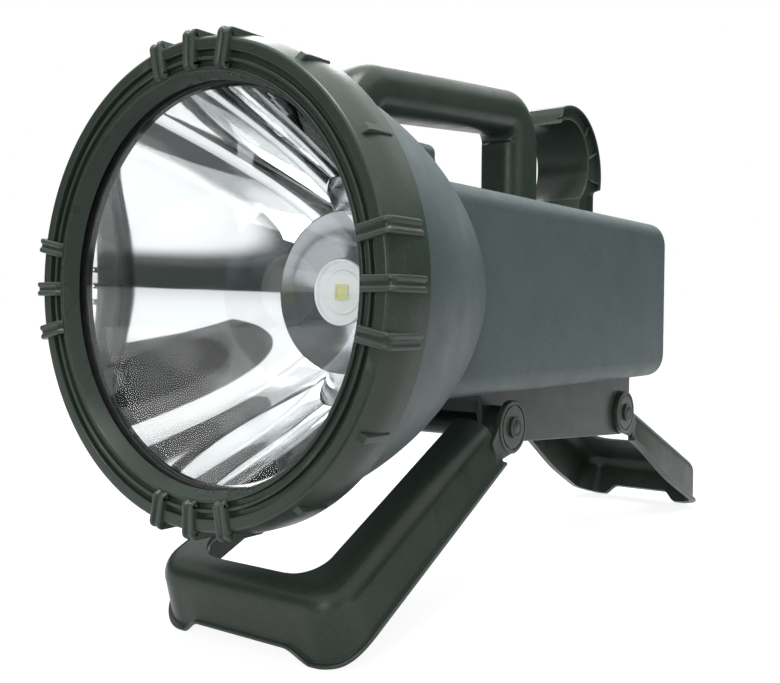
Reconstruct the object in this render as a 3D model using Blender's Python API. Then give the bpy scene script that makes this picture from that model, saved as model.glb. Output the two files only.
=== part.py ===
"""Hand-held LED searchlight with a carrying handle and a two-legged folding stand.

Every piece is modelled in the beam frame: Y runs back along the beam, Z is up, X is
to the side, and zero is on the beam axis in the plane of the bezel's inner lip. The
empty named beam_frame then stands the whole light on the floor, with the floor point
under the middle of its box as the world's origin.
"""

import math

import bmesh
import bpy
from mathutils import Matrix, Vector

# General sizes, in metres
AXIS_HEIGHT = 0.1450
GAP = 0.0003
OVERRUN = 0.0040
TINY = 0.000001
WELD = 0.000005
SMOOTH_ANGLE = math.radians(35.0)

# Bezel ring: a grooved face in front, a ribbed skirt behind
BEZEL_WALL = 0.0066
BEZEL_SKIRT = 0.0200
BEZEL_SHOULDER = 0.0100
BEZEL_TAPER = 0.0031
BEZEL_NOSE = 0.0010
BEZEL_EDGE = 0.0015
BEZEL_COVER = 0.0040
BEZEL_LIP = 0.0015
GROOVE_WIDTH = 0.0024
GROOVE_DEPTH = 0.0018
RIDGE = 0.0013
SEAT_COVER = 0.0063
SEAT_DEPTH = 0.0070
RIB_HEIGHT = 0.0015
RIB_WIDTH = 0.0058
SHORT_RIB_WIDTH = 0.0032
RIB_SUNK = 0.0030
RIB_END = 0.0026
RIB_CORNER = 0.0030
RIB_SPACING = math.radians(11.5)
SHORT_RIB_ANGLES = (math.radians(33.0), math.radians(57.0))
SHORT_RIB_START = 0.0020

# Lens, gasket and reflector
LENS_RADIUS = 0.0840
LENS_THICKNESS = 0.0030
GASKET_WIDTH = 0.0055
GASKET_THICKNESS = 0.0016
REFLECTOR_RIM = 0.0075
REFLECTOR_WALL = 0.0016
REFLECTOR_FLANGE = 0.0016
DISH_RADIUS = 0.0368
DISH_DEPTH = 0.0890
COLLAR_LENGTH = 0.0070
COLLAR_RADIUS = 0.0450

# Lamp
DISH_THICKNESS = 0.0020
DISH_RISE = 0.0012
CUP_RADIUS = 0.0150
CUP_WALL = 0.0012
CUP_DEPTH = 0.0026
CUP_PROUD = 0.0012
BOARD_RADIUS = 0.0100
BOARD_THICKNESS = 0.0014
PACKAGE_SIZE = 0.0070
PACKAGE_THICKNESS = 0.0012
SINK_RADIUS = 0.0440
SINK_PLATE = 0.0030
SINK_FIN_LENGTH = 0.0180
SINK_FIN_THICKNESS = 0.0020
SINK_FIN_PITCH = 0.0075
SINK_FIN_REACH = 0.0300
LAMP_SCREW_CIRCLE = 0.0412

# Housing: a bell in front, a box behind, a switch boss on top
BELL_RIM = 0.0041
BELL_STEP = 0.0012
BELL_REACH = 0.1746
BELL_CURVE_SHARE = 1.82
BELL_LENGTH = 0.1220
WALL = 0.0025
LEDGE_REACH = 0.0042
LEDGE_THICKNESS = 0.0030
BODY_HALF_WIDTH = 0.0600
BODY_TOP = 0.0469
BODY_BOTTOM = -0.0458
BODY_FRONT = 0.0800
BODY_REAR = 0.3360
BODY_EDGE = 0.0095
BODY_END_EDGE = 0.0140
BOSS_HALF_WIDTH = 0.0200
BOSS_TOP = 0.0710
BOSS_FRONT = 0.0780
BOSS_REAR = 0.1370
BOSS_EDGE = 0.0040
BOSS_FLOOR = 0.0400
BOSS_REAR_WALL = 0.0105

# Screw posts across the housing, as (place along the beam, height)
POST_RADIUS = 0.0050
POST_PLACES = (
    (0.1500, 0.0360), (0.2350, 0.0360), (0.3200, 0.0360), (0.1500, -0.0360), (0.3200, -0.0360),
)
POST_SCREW_FROM_SPLIT = 0.0120
POST_SCREW_BITE = 0.0100
PAD_RADIUS = 0.0048

# Screws
SCREW_RADIUS = 0.0015
SCREW_HEAD_RADIUS = 0.0030
SCREW_HEAD = 0.0022
SCREW_LENGTH = 0.0090

# Handle
HANDLE_HALF_WIDTH = 0.0140
HANDLE_HALF_THICKNESS = 0.0121
HANDLE_POST_HALF_DEPTH = 0.0160
HANDLE_ROUND_SHARE = 2.7
HANDLE_WALL = 0.0040
HANDLE_VENT_RADIUS = 0.0020
HANDLE_FRONT_POST = 0.0890
HANDLE_FRONT_TOP = 0.0915
HANDLE_GRIP_FRONT = 0.1200
HANDLE_GRIP_FRONT_TOP = 0.0955
HANDLE_REAR_POST = 0.2410
HANDLE_REAR_TOP = 0.1052
HANDLE_FRONT_BEND = 0.0180
HANDLE_REAR_BEND = 0.0170
HANDLE_SCREW_X = 0.0080
HANDLE_FRONT_SEAT = 0.0620

# Cord hook behind the handle
HOOK_HALF_WIDTH = 0.0175
HOOK_INNER_Y = 0.2845
HOOK_INNER_Z = 0.0830
HOOK_INNER_RADIUS = 0.0245
HOOK_OUTER_Y = 0.2900
HOOK_OUTER_Z = 0.0780
HOOK_OUTER_RADIUS = 0.0388
HOOK_NECK_Y = 0.3173
HOOK_TIP_ANGLE = math.radians(122.0)
HOOK_TIP_CUT = math.radians(8.0)
HOOK_FOOT_Y = 0.2960
HOOK_SCREW_X = 0.0060
HOOK_SCREW_Y = 0.3070
HOOK_EDGE = 0.0012

# Switch in the boss
BUTTON_HALF_WIDTH = 0.0150
BUTTON_HALF_HEIGHT = 0.0070
BUTTON_HEIGHT_ABOVE_AXIS = 0.0590
BUTTON_PROUD = 0.0070
BUTTON_SUNK = 0.0040
BUTTON_TRAVEL = 0.0025
BUTTON_WALL = 0.0020
BUTTON_EDGE = 0.0016
BUTTON_STEM_RADIUS = 0.0030
SPRING_RADIUS = 0.0040
SPRING_WIRE = 0.0005
SPRING_TURNS = 4
SWITCH_HALF_WIDTH = 0.0120
SWITCH_HALF_HEIGHT = 0.0060
SWITCH_LENGTH = 0.0140

# Stand bracket and pins
FRONT_HINGE_Y = 0.1640
FRONT_HINGE_Z = -0.0640
REAR_HINGE_Y = 0.3210
REAR_HINGE_Z = -0.0690
BRACKET_HALF_WIDTH = 0.0360
BRACKET_FRONT_NOSE = 0.0090
BRACKET_REAR_NOSE = 0.0140
BRACKET_WALL = 0.0030
PIN_RADIUS = 0.0030
PIN_TUBE_RADIUS = 0.0062
PIN_HEAD_RADIUS = 0.0052
PIN_HEAD = 0.0018
HINGE_BOSS_RADIUS = 0.0100
BRACKET_SCREW_X = 0.0220
BRACKET_SCREW_FRONT = 0.1800
BRACKET_SCREW_REAR = 0.3050

# Stands
EAR_RADIUS = 0.0130
EAR_PROUD = 0.0006
STAND_WALL = 0.0025
STAND_DRAFT = 0.0025
STAND_LIP = 0.0020
STAND_LIP_THICKNESS = 0.0018
STAND_EDGE = 0.0060
STAND_CORNER = 0.0180
STAND_CLEAR = 0.0160
ARM_BAND = 0.0210
WINDOW_CORNER = 0.0130
FOOT_FLAT = 0.0006
FRONT_HINGE_HALF_WIDTH = 0.0470
FRONT_FOOT_HALF_WIDTH = 0.0550
FRONT_FOOT_Y = 0.0280
FRONT_BAR_BAND = 0.0160
FRONT_TOP = 0.0130
FRONT_ARM_DROP = 0.0115
FRONT_BELLY_DROP = 0.0115
FRONT_FOOT_DROP = 0.0160
FRONT_MIDDLE_DROP = 0.0095
REAR_HINGE_HALF_WIDTH = 0.0390
REAR_FOOT_HALF_WIDTH = 0.0465
REAR_FOOT_Y = 0.4450
REAR_BAR_BAND = 0.0500
REAR_TOP = 0.0110
REAR_ARM_DROP = 0.0130
REAR_BELLY_DROP = 0.0190
REAR_FOOT_DROP = 0.0180
REAR_MIDDLE_DROP = 0.0110

# Battery and driver
BATTERY_HALF_WIDTH = 0.0350
BATTERY_HEIGHT = 0.0470
BATTERY_FRONT = 0.1900
BATTERY_LENGTH = 0.1010
BATTERY_PAD = 0.0020
BATTERY_EDGE = 0.0020
TERMINAL_SIZE = 0.0060
STRAP_WIDTH = 0.0200
STRAP_THICKNESS = 0.0015
STRAP_TAB = 0.0100
STRAP_Y = 0.2410
STRAP_BOSS_TOP = -0.0350
DRIVER_FRONT = 0.1980
DRIVER_LENGTH = 0.0700
DRIVER_BOTTOM = -0.0200
DRIVER_HEIGHT = 0.0480
DRIVER_THICKNESS = 0.0016
DRIVER_STANDOFF = 0.0070
DRIVER_SCREW_INSET = 0.0060
DRIVER_PART_HEIGHT = 0.0080
DRIVER_COIL_RADIUS = 0.0070

# Charging socket, its rubber cover and the indicator, on the rear face
SOCKET_X = 0.0300
SOCKET_Z = -0.0080
SOCKET_RADIUS = 0.0055
SOCKET_BORE = 0.0028
SOCKET_DEPTH = 0.0160
PLATE_HALF_WIDTH = 0.0090
PLATE_BELOW = 0.0100
PLATE_ABOVE = 0.0150
PLATE_THICKNESS = 0.0018
CAP_THICKNESS = 0.0026
CAP_HINGE_ABOVE = 0.0110
CAP_KNUCKLE_RADIUS = 0.0020
CAP_PIN_RADIUS = 0.0009
LUG_WIDTH = 0.0024
LUG_INNER = 0.0050
LIGHT_RADIUS = 0.0025
LIGHT_Z = 0.0180
LIGHT_LENGTH = 0.0100

# Cables
CABLE_RADIUS = 0.0013
CABLE_PITCH = 0.0060
CABLE_SWEEP = 0.0180

LATHE_STEPS = 48
MIDDLE_STEPS = 36
SMALL_STEPS = 20
SCREW_STEPS = 8
ROUND_STEPS = 16
BORE_STEPS = 12

# Sizes that follow from those above
BELL_FRONT = BEZEL_SKIRT + GAP
LENS_BORE = LENS_RADIUS + GAP
BELL_RIM_RADIUS = LENS_BORE + BELL_RIM
BELL_RADIUS = BELL_RIM_RADIUS + BELL_STEP
LEDGE_RADIUS = LENS_RADIUS - LEDGE_REACH
BEZEL_BORE = BELL_RIM_RADIUS + GAP
BEZEL_RADIUS = BEZEL_BORE + BEZEL_WALL
BEZEL_FACE_RADIUS = BEZEL_RADIUS - BEZEL_TAPER
BEZEL_LIP_RADIUS = LENS_RADIUS - BEZEL_COVER
SEAT_RADIUS = LENS_RADIUS - SEAT_COVER
LENS_FRONT = SEAT_DEPTH + GAP
LENS_REAR = LENS_FRONT + LENS_THICKNESS
GASKET_FRONT = LENS_REAR + GAP
GASKET_REAR = GASKET_FRONT + GASKET_THICKNESS
FLANGE_FRONT = GASKET_REAR + GAP
FLANGE_REAR = FLANGE_FRONT + REFLECTOR_FLANGE
LEDGE_FRONT = FLANGE_REAR + GAP
COLLAR_REAR = DISH_DEPTH + COLLAR_LENGTH
SINK_FRONT = COLLAR_REAR + GAP
REFLECTOR_MOUTH = LENS_RADIUS - REFLECTOR_RIM
SINK_REAR = SINK_FRONT + SINK_PLATE
INNER_HALF_WIDTH = BODY_HALF_WIDTH - WALL
INNER_BOTTOM = BODY_BOTTOM + WALL
INNER_TOP = BODY_TOP - WALL
INNER_REAR = BODY_REAR - WALL
FRONT_HINGE = (FRONT_HINGE_Y, FRONT_HINGE_Z)
REAR_HINGE = (REAR_HINGE_Y, REAR_HINGE_Z)


def clear_scene():
    for obj in list(bpy.data.objects):
        bpy.data.objects.remove(obj)


def material(name, colour, roughness, metallic=0.0, alpha=1.0):
    mat = bpy.data.materials.new(name)
    mat.use_nodes = True
    shader = mat.node_tree.nodes["Principled BSDF"]
    shader.inputs["Base Color"].default_value = (*colour, 1.0)
    shader.inputs["Roughness"].default_value = roughness
    shader.inputs["Metallic"].default_value = metallic
    shader.inputs["Alpha"].default_value = alpha
    mat.diffuse_color = (*colour, alpha)
    return mat


def piece(name, bm, mat=None):
    """An object from a bmesh, with outward faces and smooth round sides."""
    bmesh.ops.remove_doubles(bm, verts=bm.verts, dist=TINY)
    bmesh.ops.recalc_face_normals(bm, faces=bm.faces)
    mesh = bpy.data.meshes.new(name)
    bm.to_mesh(mesh)
    bm.free()
    mesh.shade_smooth()
    mesh.set_sharp_from_angle(angle=SMOOTH_ANGLE)
    obj = bpy.data.objects.new(name, mesh)
    bpy.context.scene.collection.objects.link(obj)
    if mat:
        mesh.materials.append(mat)
    return obj


def boolean(target, tools, operation):
    """Applies one exact Boolean with all the tools, and removes them."""
    group = bpy.data.collections.new("tools")
    bpy.context.scene.collection.children.link(group)
    for tool in tools:
        group.objects.link(tool)
    modifier = target.modifiers.new(operation, "BOOLEAN")
    modifier.operation = operation
    modifier.solver = "EXACT"
    modifier.operand_type = "COLLECTION"
    modifier.collection = group
    bpy.context.view_layer.update()
    graph = bpy.context.evaluated_depsgraph_get()
    mesh = bpy.data.meshes.new_from_object(target.evaluated_get(graph))
    target.modifiers.clear()
    bpy.data.collections.remove(group)
    for tool in tools:
        bpy.data.objects.remove(tool)
    bm = bmesh.new()
    bm.from_mesh(mesh)
    bmesh.ops.remove_doubles(bm, verts=bm.verts, dist=WELD)
    bmesh.ops.dissolve_degenerate(bm, edges=bm.edges, dist=WELD)
    bm.to_mesh(mesh)
    bm.free()
    mesh.shade_smooth()
    mesh.set_sharp_from_angle(angle=SMOOTH_ANGLE)
    target.data = mesh
    return target


def cut(target, *tools):
    return boolean(target, tools, "DIFFERENCE")


def join(target, *tools):
    return boolean(target, tools, "UNION")


def move_origin(obj, point):
    """Puts the object's origin at a point of the beam frame, with the mesh where it was."""
    obj.data.transform(Matrix.Translation(-Vector(point)))
    obj.location = point
    return obj


def lathe(name, profile, mat=None, steps=LATHE_STEPS, centre=(0.0, 0.0)):
    """Turns a closed outline of (radius, y) points round an axis along Y."""
    bm = bmesh.new()
    rings = []
    for radius, y in profile:
        rings.append([
            bm.verts.new((
                centre[0] + radius * math.cos(math.tau * i / steps),
                y,
                centre[1] + radius * math.sin(math.tau * i / steps),
            ))
            for i in range(steps if radius else 1)
        ])
    for one, two in zip(rings, rings[1:] + rings[:1]):
        if len(one) + len(two) == 2:
            continue
        for i in range(steps):
            after = (i + 1) % steps
            loop = [one[i % len(one)], one[after % len(one)], two[after % len(two)], two[i % len(two)]]
            bm.faces.new(list(dict.fromkeys(loop)))
    return piece(name, bm, mat)


def prism(name, outline, low, high, axis, mat=None):
    """Extrudes an outline from low to high along axis 0, 1 or 2.

    Its points are (y, z) for axis 0, (x, z) for axis 1 and (x, y) for axis 2.
    """
    bm = bmesh.new()
    verts = []
    for a, b in outline:
        place = [a, b]
        place.insert(axis, low)
        verts.append(bm.verts.new(place))
    face = bm.faces.new(verts)
    step = [0.0, 0.0, 0.0]
    step[axis] = high - low
    made = bmesh.ops.extrude_face_region(bm, geom=[face])
    top = [item for item in made["geom"] if isinstance(item, bmesh.types.BMVert)]
    bmesh.ops.translate(bm, verts=top, vec=step)
    return piece(name, bm, mat)


def box(name, low, high, mat=None, edge=0.0, segments=2):
    """A box between two corners, with all its edges rounded if edge is given."""
    bm = bmesh.new()
    bmesh.ops.create_cube(bm, size=1.0)
    size = [b - a for a, b in zip(low, high)]
    middle = [(a + b) / 2 for a, b in zip(low, high)]
    bmesh.ops.scale(bm, vec=size, verts=bm.verts)
    bmesh.ops.translate(bm, vec=middle, verts=bm.verts)
    if edge:
        bmesh.ops.bevel(
            bm, geom=bm.edges[:], offset=edge, segments=segments, profile=0.5, affect="EDGES"
        )
    return piece(name, bm, mat)


def rod(name, radius, low, high, axis, centre, mat=None, steps=SMALL_STEPS):
    """A cylinder along axis 0, 1 or 2, from low to high, centred at the other two places."""
    outline = [
        (
            centre[0] + radius * math.cos(math.tau * i / steps),
            centre[1] + radius * math.sin(math.tau * i / steps),
        )
        for i in range(steps)
    ]
    return prism(name, outline, low, high, axis, mat)


def bore(radius, low, high, axis, centre, steps=BORE_STEPS):
    """A round tool for cutting a hole."""
    return rod("bore", radius, low, high, axis, centre, steps=steps)


def arc(centre, radius, start, end, count):
    """Points on an arc, from one angle to the other."""
    return [
        (
            centre[0] + radius * math.cos(start + (end - start) * i / count),
            centre[1] + radius * math.sin(start + (end - start) * i / count),
        )
        for i in range(count + 1)
    ]


def screws(name, places, mat, length=SCREW_LENGTH):
    """One pan-head screw for each place, which is (seat of the head, direction of the shank)."""
    outline = [
        (0.0, -SCREW_HEAD), (SCREW_HEAD_RADIUS, -SCREW_HEAD), (SCREW_HEAD_RADIUS, 0.0),
        (SCREW_RADIUS, 0.0), (SCREW_RADIUS, length), (0.0, length),
    ]
    made = []
    for number, (seat, direction) in enumerate(places, 1):
        screw = lathe(f"{name}_{number}", outline, mat, steps=SCREW_STEPS)
        turn = Vector((0.0, 1.0, 0.0)).rotation_difference(Vector(direction))
        screw.data.transform(turn.to_matrix().to_4x4())
        screw.location = seat
        made.append(screw)
    return made


# Bezel ring

def bezel_outline():
    """(radius, y) outline of the ring, over the grooved face and down to the lens seat."""
    face = -BEZEL_NOSE
    outer = BEZEL_LIP_RADIUS + BEZEL_LIP + GROOVE_WIDTH * 2 + RIDGE
    inner = BEZEL_LIP_RADIUS + BEZEL_LIP + GROOVE_WIDTH
    lip = BEZEL_LIP_RADIUS + BEZEL_LIP
    return [
        (BEZEL_RADIUS, BEZEL_SKIRT), (BEZEL_RADIUS, BEZEL_SHOULDER),
        *arc((BEZEL_FACE_RADIUS - BEZEL_EDGE, face + BEZEL_EDGE), BEZEL_EDGE, 0.0, -math.pi / 2, 3),
        (outer, face), (outer, GROOVE_DEPTH), (inner + RIDGE, GROOVE_DEPTH), (inner + RIDGE, face / 2),
        (inner, face / 2), (inner, GROOVE_DEPTH), (lip, GROOVE_DEPTH), (lip, 0.0),
        (BEZEL_LIP_RADIUS, 0.0), (SEAT_RADIUS, SEAT_DEPTH),
        (BEZEL_BORE, SEAT_DEPTH), (BEZEL_BORE, BEZEL_SKIRT),
    ]


def rib(outline, width, angle):
    """A bar across the ring, from a side outline of (radius, y), at an angle round Y."""
    bar = prism("rib", outline, -width / 2, width / 2, 2)
    bar.data.transform(Matrix.Rotation(angle, 4, "Y"))
    return bar


def make_bezel(mat):
    ring = lathe("bezel_ring", bezel_outline(), mat)
    top = BEZEL_RADIUS + RIB_HEIGHT / 2
    front = -BEZEL_NOSE - RIB_HEIGHT
    rear = BEZEL_SKIRT - RIB_END
    corner = arc((top - RIB_CORNER, front + RIB_CORNER), RIB_CORNER, 0.0, -math.pi / 2, 3)
    low = BEZEL_LIP_RADIUS + BEZEL_LIP / 2
    long_outline = [
        (top, rear), *corner, (low + RIB_HEIGHT, front), (low, -BEZEL_NOSE / 2),
        (low, RIB_SUNK), (BEZEL_RADIUS - RIB_SUNK * 2, RIB_SUNK), (BEZEL_RADIUS - RIB_SUNK, rear),
    ]
    start = SHORT_RIB_START
    short_outline = [
        (top, rear), (top, start + RIB_HEIGHT), (BEZEL_FACE_RADIUS, start),
        (BEZEL_RADIUS - RIB_SUNK * 2, start + RIB_SUNK), (BEZEL_RADIUS - RIB_SUNK, rear),
    ]
    bars = []
    for quarter in range(4):
        turn = quarter * math.pi / 2
        bars += [rib(long_outline, RIB_WIDTH, turn + RIB_SPACING * side) for side in (-1, 0, 1)]
        bars += [rib(short_outline, SHORT_RIB_WIDTH, turn + angle) for angle in SHORT_RIB_ANGLES]
    return join(ring, *bars)


# Lens stack and reflector

def make_lens(mat):
    outline = [
        (0.0, LENS_FRONT), (LENS_RADIUS, LENS_FRONT), (LENS_RADIUS, LENS_REAR), (0.0, LENS_REAR),
    ]
    return lathe("lens", outline, mat)


def make_gasket(mat):
    inner = LENS_RADIUS - GASKET_WIDTH
    outline = [
        (inner, GASKET_FRONT), (LENS_RADIUS, GASKET_FRONT),
        (LENS_RADIUS, GASKET_REAR), (inner, GASKET_REAR),
    ]
    return lathe("lens_gasket", outline, mat)


def bowl_radius(depth):
    """Radius at a depth of the paraboloid that runs from its wide mouth to the dish."""
    share = (DISH_DEPTH - depth) / (DISH_DEPTH - FLANGE_FRONT)
    return math.sqrt(DISH_RADIUS ** 2 + (REFLECTOR_MOUTH ** 2 - DISH_RADIUS ** 2) * share)


def make_reflector(mat):
    count = 6
    span = DISH_DEPTH - FLANGE_FRONT
    depths = [FLANGE_FRONT + span * i / count for i in range(count + 1)]
    inner = [(bowl_radius(y), y) for y in depths]
    outer = [(bowl_radius(y) + REFLECTOR_WALL, y) for y in depths if y > FLANGE_REAR]
    collar_front = COLLAR_REAR - REFLECTOR_FLANGE * 2
    outline = [
        *inner, (DISH_RADIUS, COLLAR_REAR), (COLLAR_RADIUS, COLLAR_REAR),
        (COLLAR_RADIUS, collar_front), (DISH_RADIUS + REFLECTOR_WALL, collar_front),
        *reversed(outer),
        (bowl_radius(FLANGE_REAR) + REFLECTOR_WALL, FLANGE_REAR), (LENS_RADIUS, FLANGE_REAR),
        (LENS_RADIUS, FLANGE_FRONT),
    ]
    bowl = lathe("reflector", outline, mat)
    holes = [
        bore(SCREW_RADIUS + GAP, collar_front - OVERRUN, COLLAR_REAR + OVERRUN, 1, place)
        for place in lamp_screw_places()
    ]
    return cut(bowl, *holes)


def lamp_screw_places():
    return [
        (LAMP_SCREW_CIRCLE * math.cos(angle), LAMP_SCREW_CIRCLE * math.sin(angle))
        for angle in (math.tau * i / 3 + math.pi / 2 for i in range(3))
    ]


# Lamp

def make_dish(mat):
    inner = CUP_RADIUS + GAP
    radius = DISH_RADIUS - GAP
    middle = (inner + radius) / 2
    front = DISH_DEPTH + GAP
    outline = [
        (radius, front), (middle, front + DISH_RISE), (inner, front),
        (inner, front + DISH_THICKNESS), (middle, front + DISH_RISE + DISH_THICKNESS),
        (radius, front + DISH_THICKNESS),
    ]
    return lathe("lamp_dish", outline, mat, steps=MIDDLE_STEPS)


def make_cup(mat):
    front = DISH_DEPTH - CUP_PROUD
    rear = DISH_DEPTH + CUP_DEPTH
    hole = BOARD_RADIUS + GAP
    outline = [
        (CUP_RADIUS, front), (CUP_RADIUS, rear), (hole, rear), (hole, rear - CUP_WALL),
        (CUP_RADIUS - CUP_WALL, rear - CUP_WALL), (CUP_RADIUS - CUP_WALL, front),
    ]
    return lathe("lamp_cup", outline, mat, steps=MIDDLE_STEPS)


def make_led_board(mat):
    rear = DISH_DEPTH + CUP_DEPTH
    outline = [
        (0.0, rear - BOARD_THICKNESS), (BOARD_RADIUS, rear - BOARD_THICKNESS),
        (BOARD_RADIUS, rear), (0.0, rear),
    ]
    return lathe("led_board", outline, mat, steps=SMALL_STEPS)


def make_led_package(mat):
    rear = DISH_DEPTH + CUP_DEPTH - BOARD_THICKNESS - GAP
    half = PACKAGE_SIZE / 2
    return box("led_package", (-half, rear - PACKAGE_THICKNESS, -half), (half, rear, half), mat)


def make_heat_sink(mat):
    pedestal = DISH_DEPTH + CUP_DEPTH + GAP
    outline = [
        (0.0, pedestal), (CUP_RADIUS, pedestal), (CUP_RADIUS, SINK_FRONT), (SINK_RADIUS, SINK_FRONT),
        (SINK_RADIUS, SINK_REAR), (0.0, SINK_REAR),
    ]
    sink = lathe("heat_sink", outline, mat, steps=MIDDLE_STEPS)
    fins = []
    for i in range(-3, 4):
        x = i * SINK_FIN_PITCH
        half = math.sqrt(SINK_FIN_REACH ** 2 - x ** 2)
        fins.append(box(
            "fin", (x - SINK_FIN_THICKNESS / 2, SINK_REAR - SINK_PLATE / 2, -half),
            (x + SINK_FIN_THICKNESS / 2, SINK_REAR + SINK_FIN_LENGTH, half),
        ))
    join(sink, *fins)
    holes = [
        bore(SCREW_RADIUS + GAP, SINK_FRONT - OVERRUN, SINK_REAR + OVERRUN, 1, place, SCREW_STEPS)
        for place in lamp_screw_places()
    ]
    return cut(sink, *holes)


def make_lamp_screws(mat):
    places = [((x, SINK_REAR + GAP, z), (0.0, -1.0, 0.0)) for x, z in lamp_screw_places()]
    return screws("lamp_screw", places, mat, length=SINK_PLATE + REFLECTOR_FLANGE * 2)


# Housing

def bell_radius(y):
    """The bell narrows slowly behind the bezel and faster towards the box."""
    share = (y - BELL_FRONT) / BELL_REACH
    return BELL_RADIUS * (1 - share ** BELL_CURVE_SHARE)


def bell_solid(grow):
    count = 8
    depths = [BELL_FRONT + BELL_LENGTH * i / count for i in range(count + 1)]
    outline = [
        (0.0, SEAT_DEPTH + GAP - grow), (BELL_RIM_RADIUS + grow, SEAT_DEPTH + GAP - grow),
        (BELL_RIM_RADIUS + grow, BELL_FRONT - grow),
        (bell_radius(BELL_FRONT) + grow, BELL_FRONT - grow),
        *[(bell_radius(y) + grow, y) for y in depths[1:]],
        (0.0, depths[-1]),
    ]
    return lathe("bell", outline)


def box_solid(grow):
    """The box: its ends rounded in side view, then its long edges."""
    low = BODY_BOTTOM - grow
    high = BODY_TOP + grow
    rear = BODY_REAR + grow
    end = BODY_END_EDGE + grow
    outline = [
        (BODY_FRONT, low), *arc((rear - end, low + end), end, -math.pi / 2, 0.0, 4),
        *arc((rear - end, high - end), end, 0.0, math.pi / 2, 4), (BODY_FRONT, high),
    ]
    half = BODY_HALF_WIDTH + grow
    solid = prism("box", outline, -half, half, 0)
    bm = bmesh.new()
    bm.from_mesh(solid.data)
    rims = [
        edge for edge in bm.edges
        if abs(edge.verts[0].co.x - edge.verts[1].co.x) < TINY
        and max(vert.co.y for vert in edge.verts) > BODY_FRONT + TINY
    ]
    bmesh.ops.bevel(
        bm, geom=rims, offset=BODY_EDGE + grow, segments=4, profile=0.5, affect="EDGES"
    )
    bmesh.ops.recalc_face_normals(bm, faces=bm.faces)
    bm.to_mesh(solid.data)
    bm.free()
    return solid


def boss_solid(grow, rear=BOSS_REAR):
    low = (-BOSS_HALF_WIDTH - grow, BOSS_FRONT - grow, BOSS_FLOOR)
    high = (BOSS_HALF_WIDTH + grow, rear + grow, BOSS_TOP + grow)
    return box("boss", low, high, edge=BOSS_EDGE + grow, segments=3)


def housing_outer(grow):
    return join(bell_solid(grow), box_solid(grow), boss_solid(grow))


def housing_cavity():
    """The space inside the shells: the lens bore, the bell, the box and the boss."""
    count = 5
    start = LEDGE_FRONT + LEDGE_THICKNESS
    length = BELL_FRONT + BELL_LENGTH - start
    depths = [start + length * i / count for i in range(count + 1)]
    outline = [
        (0.0, SEAT_DEPTH - OVERRUN), (LENS_BORE, SEAT_DEPTH - OVERRUN), (LENS_BORE, LEDGE_FRONT),
        (LEDGE_RADIUS, LEDGE_FRONT), (LEDGE_RADIUS, start),
        *[(bell_radius(max(y, BELL_FRONT)) - WALL, y) for y in depths],
        (0.0, depths[-1]),
    ]
    return join(
        lathe("cavity", outline), box_solid(-WALL),
        boss_solid(-WALL, BOSS_REAR - BOSS_REAR_WALL + WALL),
    )


def inner_pads():
    """Posts across the shells and pads on their inner faces, which take the screws."""
    sunk = WALL / 2
    far = INNER_HALF_WIDTH + sunk
    pads = [
        rod("post", POST_RADIUS, -far, far, 0, place, steps=ROUND_STEPS)
        for place in POST_PLACES
    ]
    for side in (-1, 1):
        for y in (BRACKET_SCREW_FRONT, BRACKET_SCREW_REAR):
            centre = (side * BRACKET_SCREW_X, y)
            top = BODY_BOTTOM + SCREW_LENGTH + WALL
            pads.append(rod("pad", PAD_RADIUS, INNER_BOTTOM - sunk, top, 2, centre, steps=BORE_STEPS))
        centre = (side * strap_screw_x(), STRAP_Y)
        low = INNER_BOTTOM - sunk
        pads.append(rod("pad", PAD_RADIUS, low, STRAP_BOSS_TOP, 2, centre, steps=BORE_STEPS))
        centre = (side * HANDLE_SCREW_X, HANDLE_FRONT_POST)
        top = max(bell_radius(HANDLE_FRONT_POST), BOSS_TOP) - sunk * 2
        pads.append(rod("pad", PAD_RADIUS, HANDLE_FRONT_SEAT, top, 2, centre, steps=BORE_STEPS))
    for y, z in driver_screw_places():
        low = INNER_HALF_WIDTH - DRIVER_STANDOFF
        pads.append(rod("pad", PAD_RADIUS, low, INNER_HALF_WIDTH + sunk, 0, (y, z), steps=BORE_STEPS))
    return pads


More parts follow.
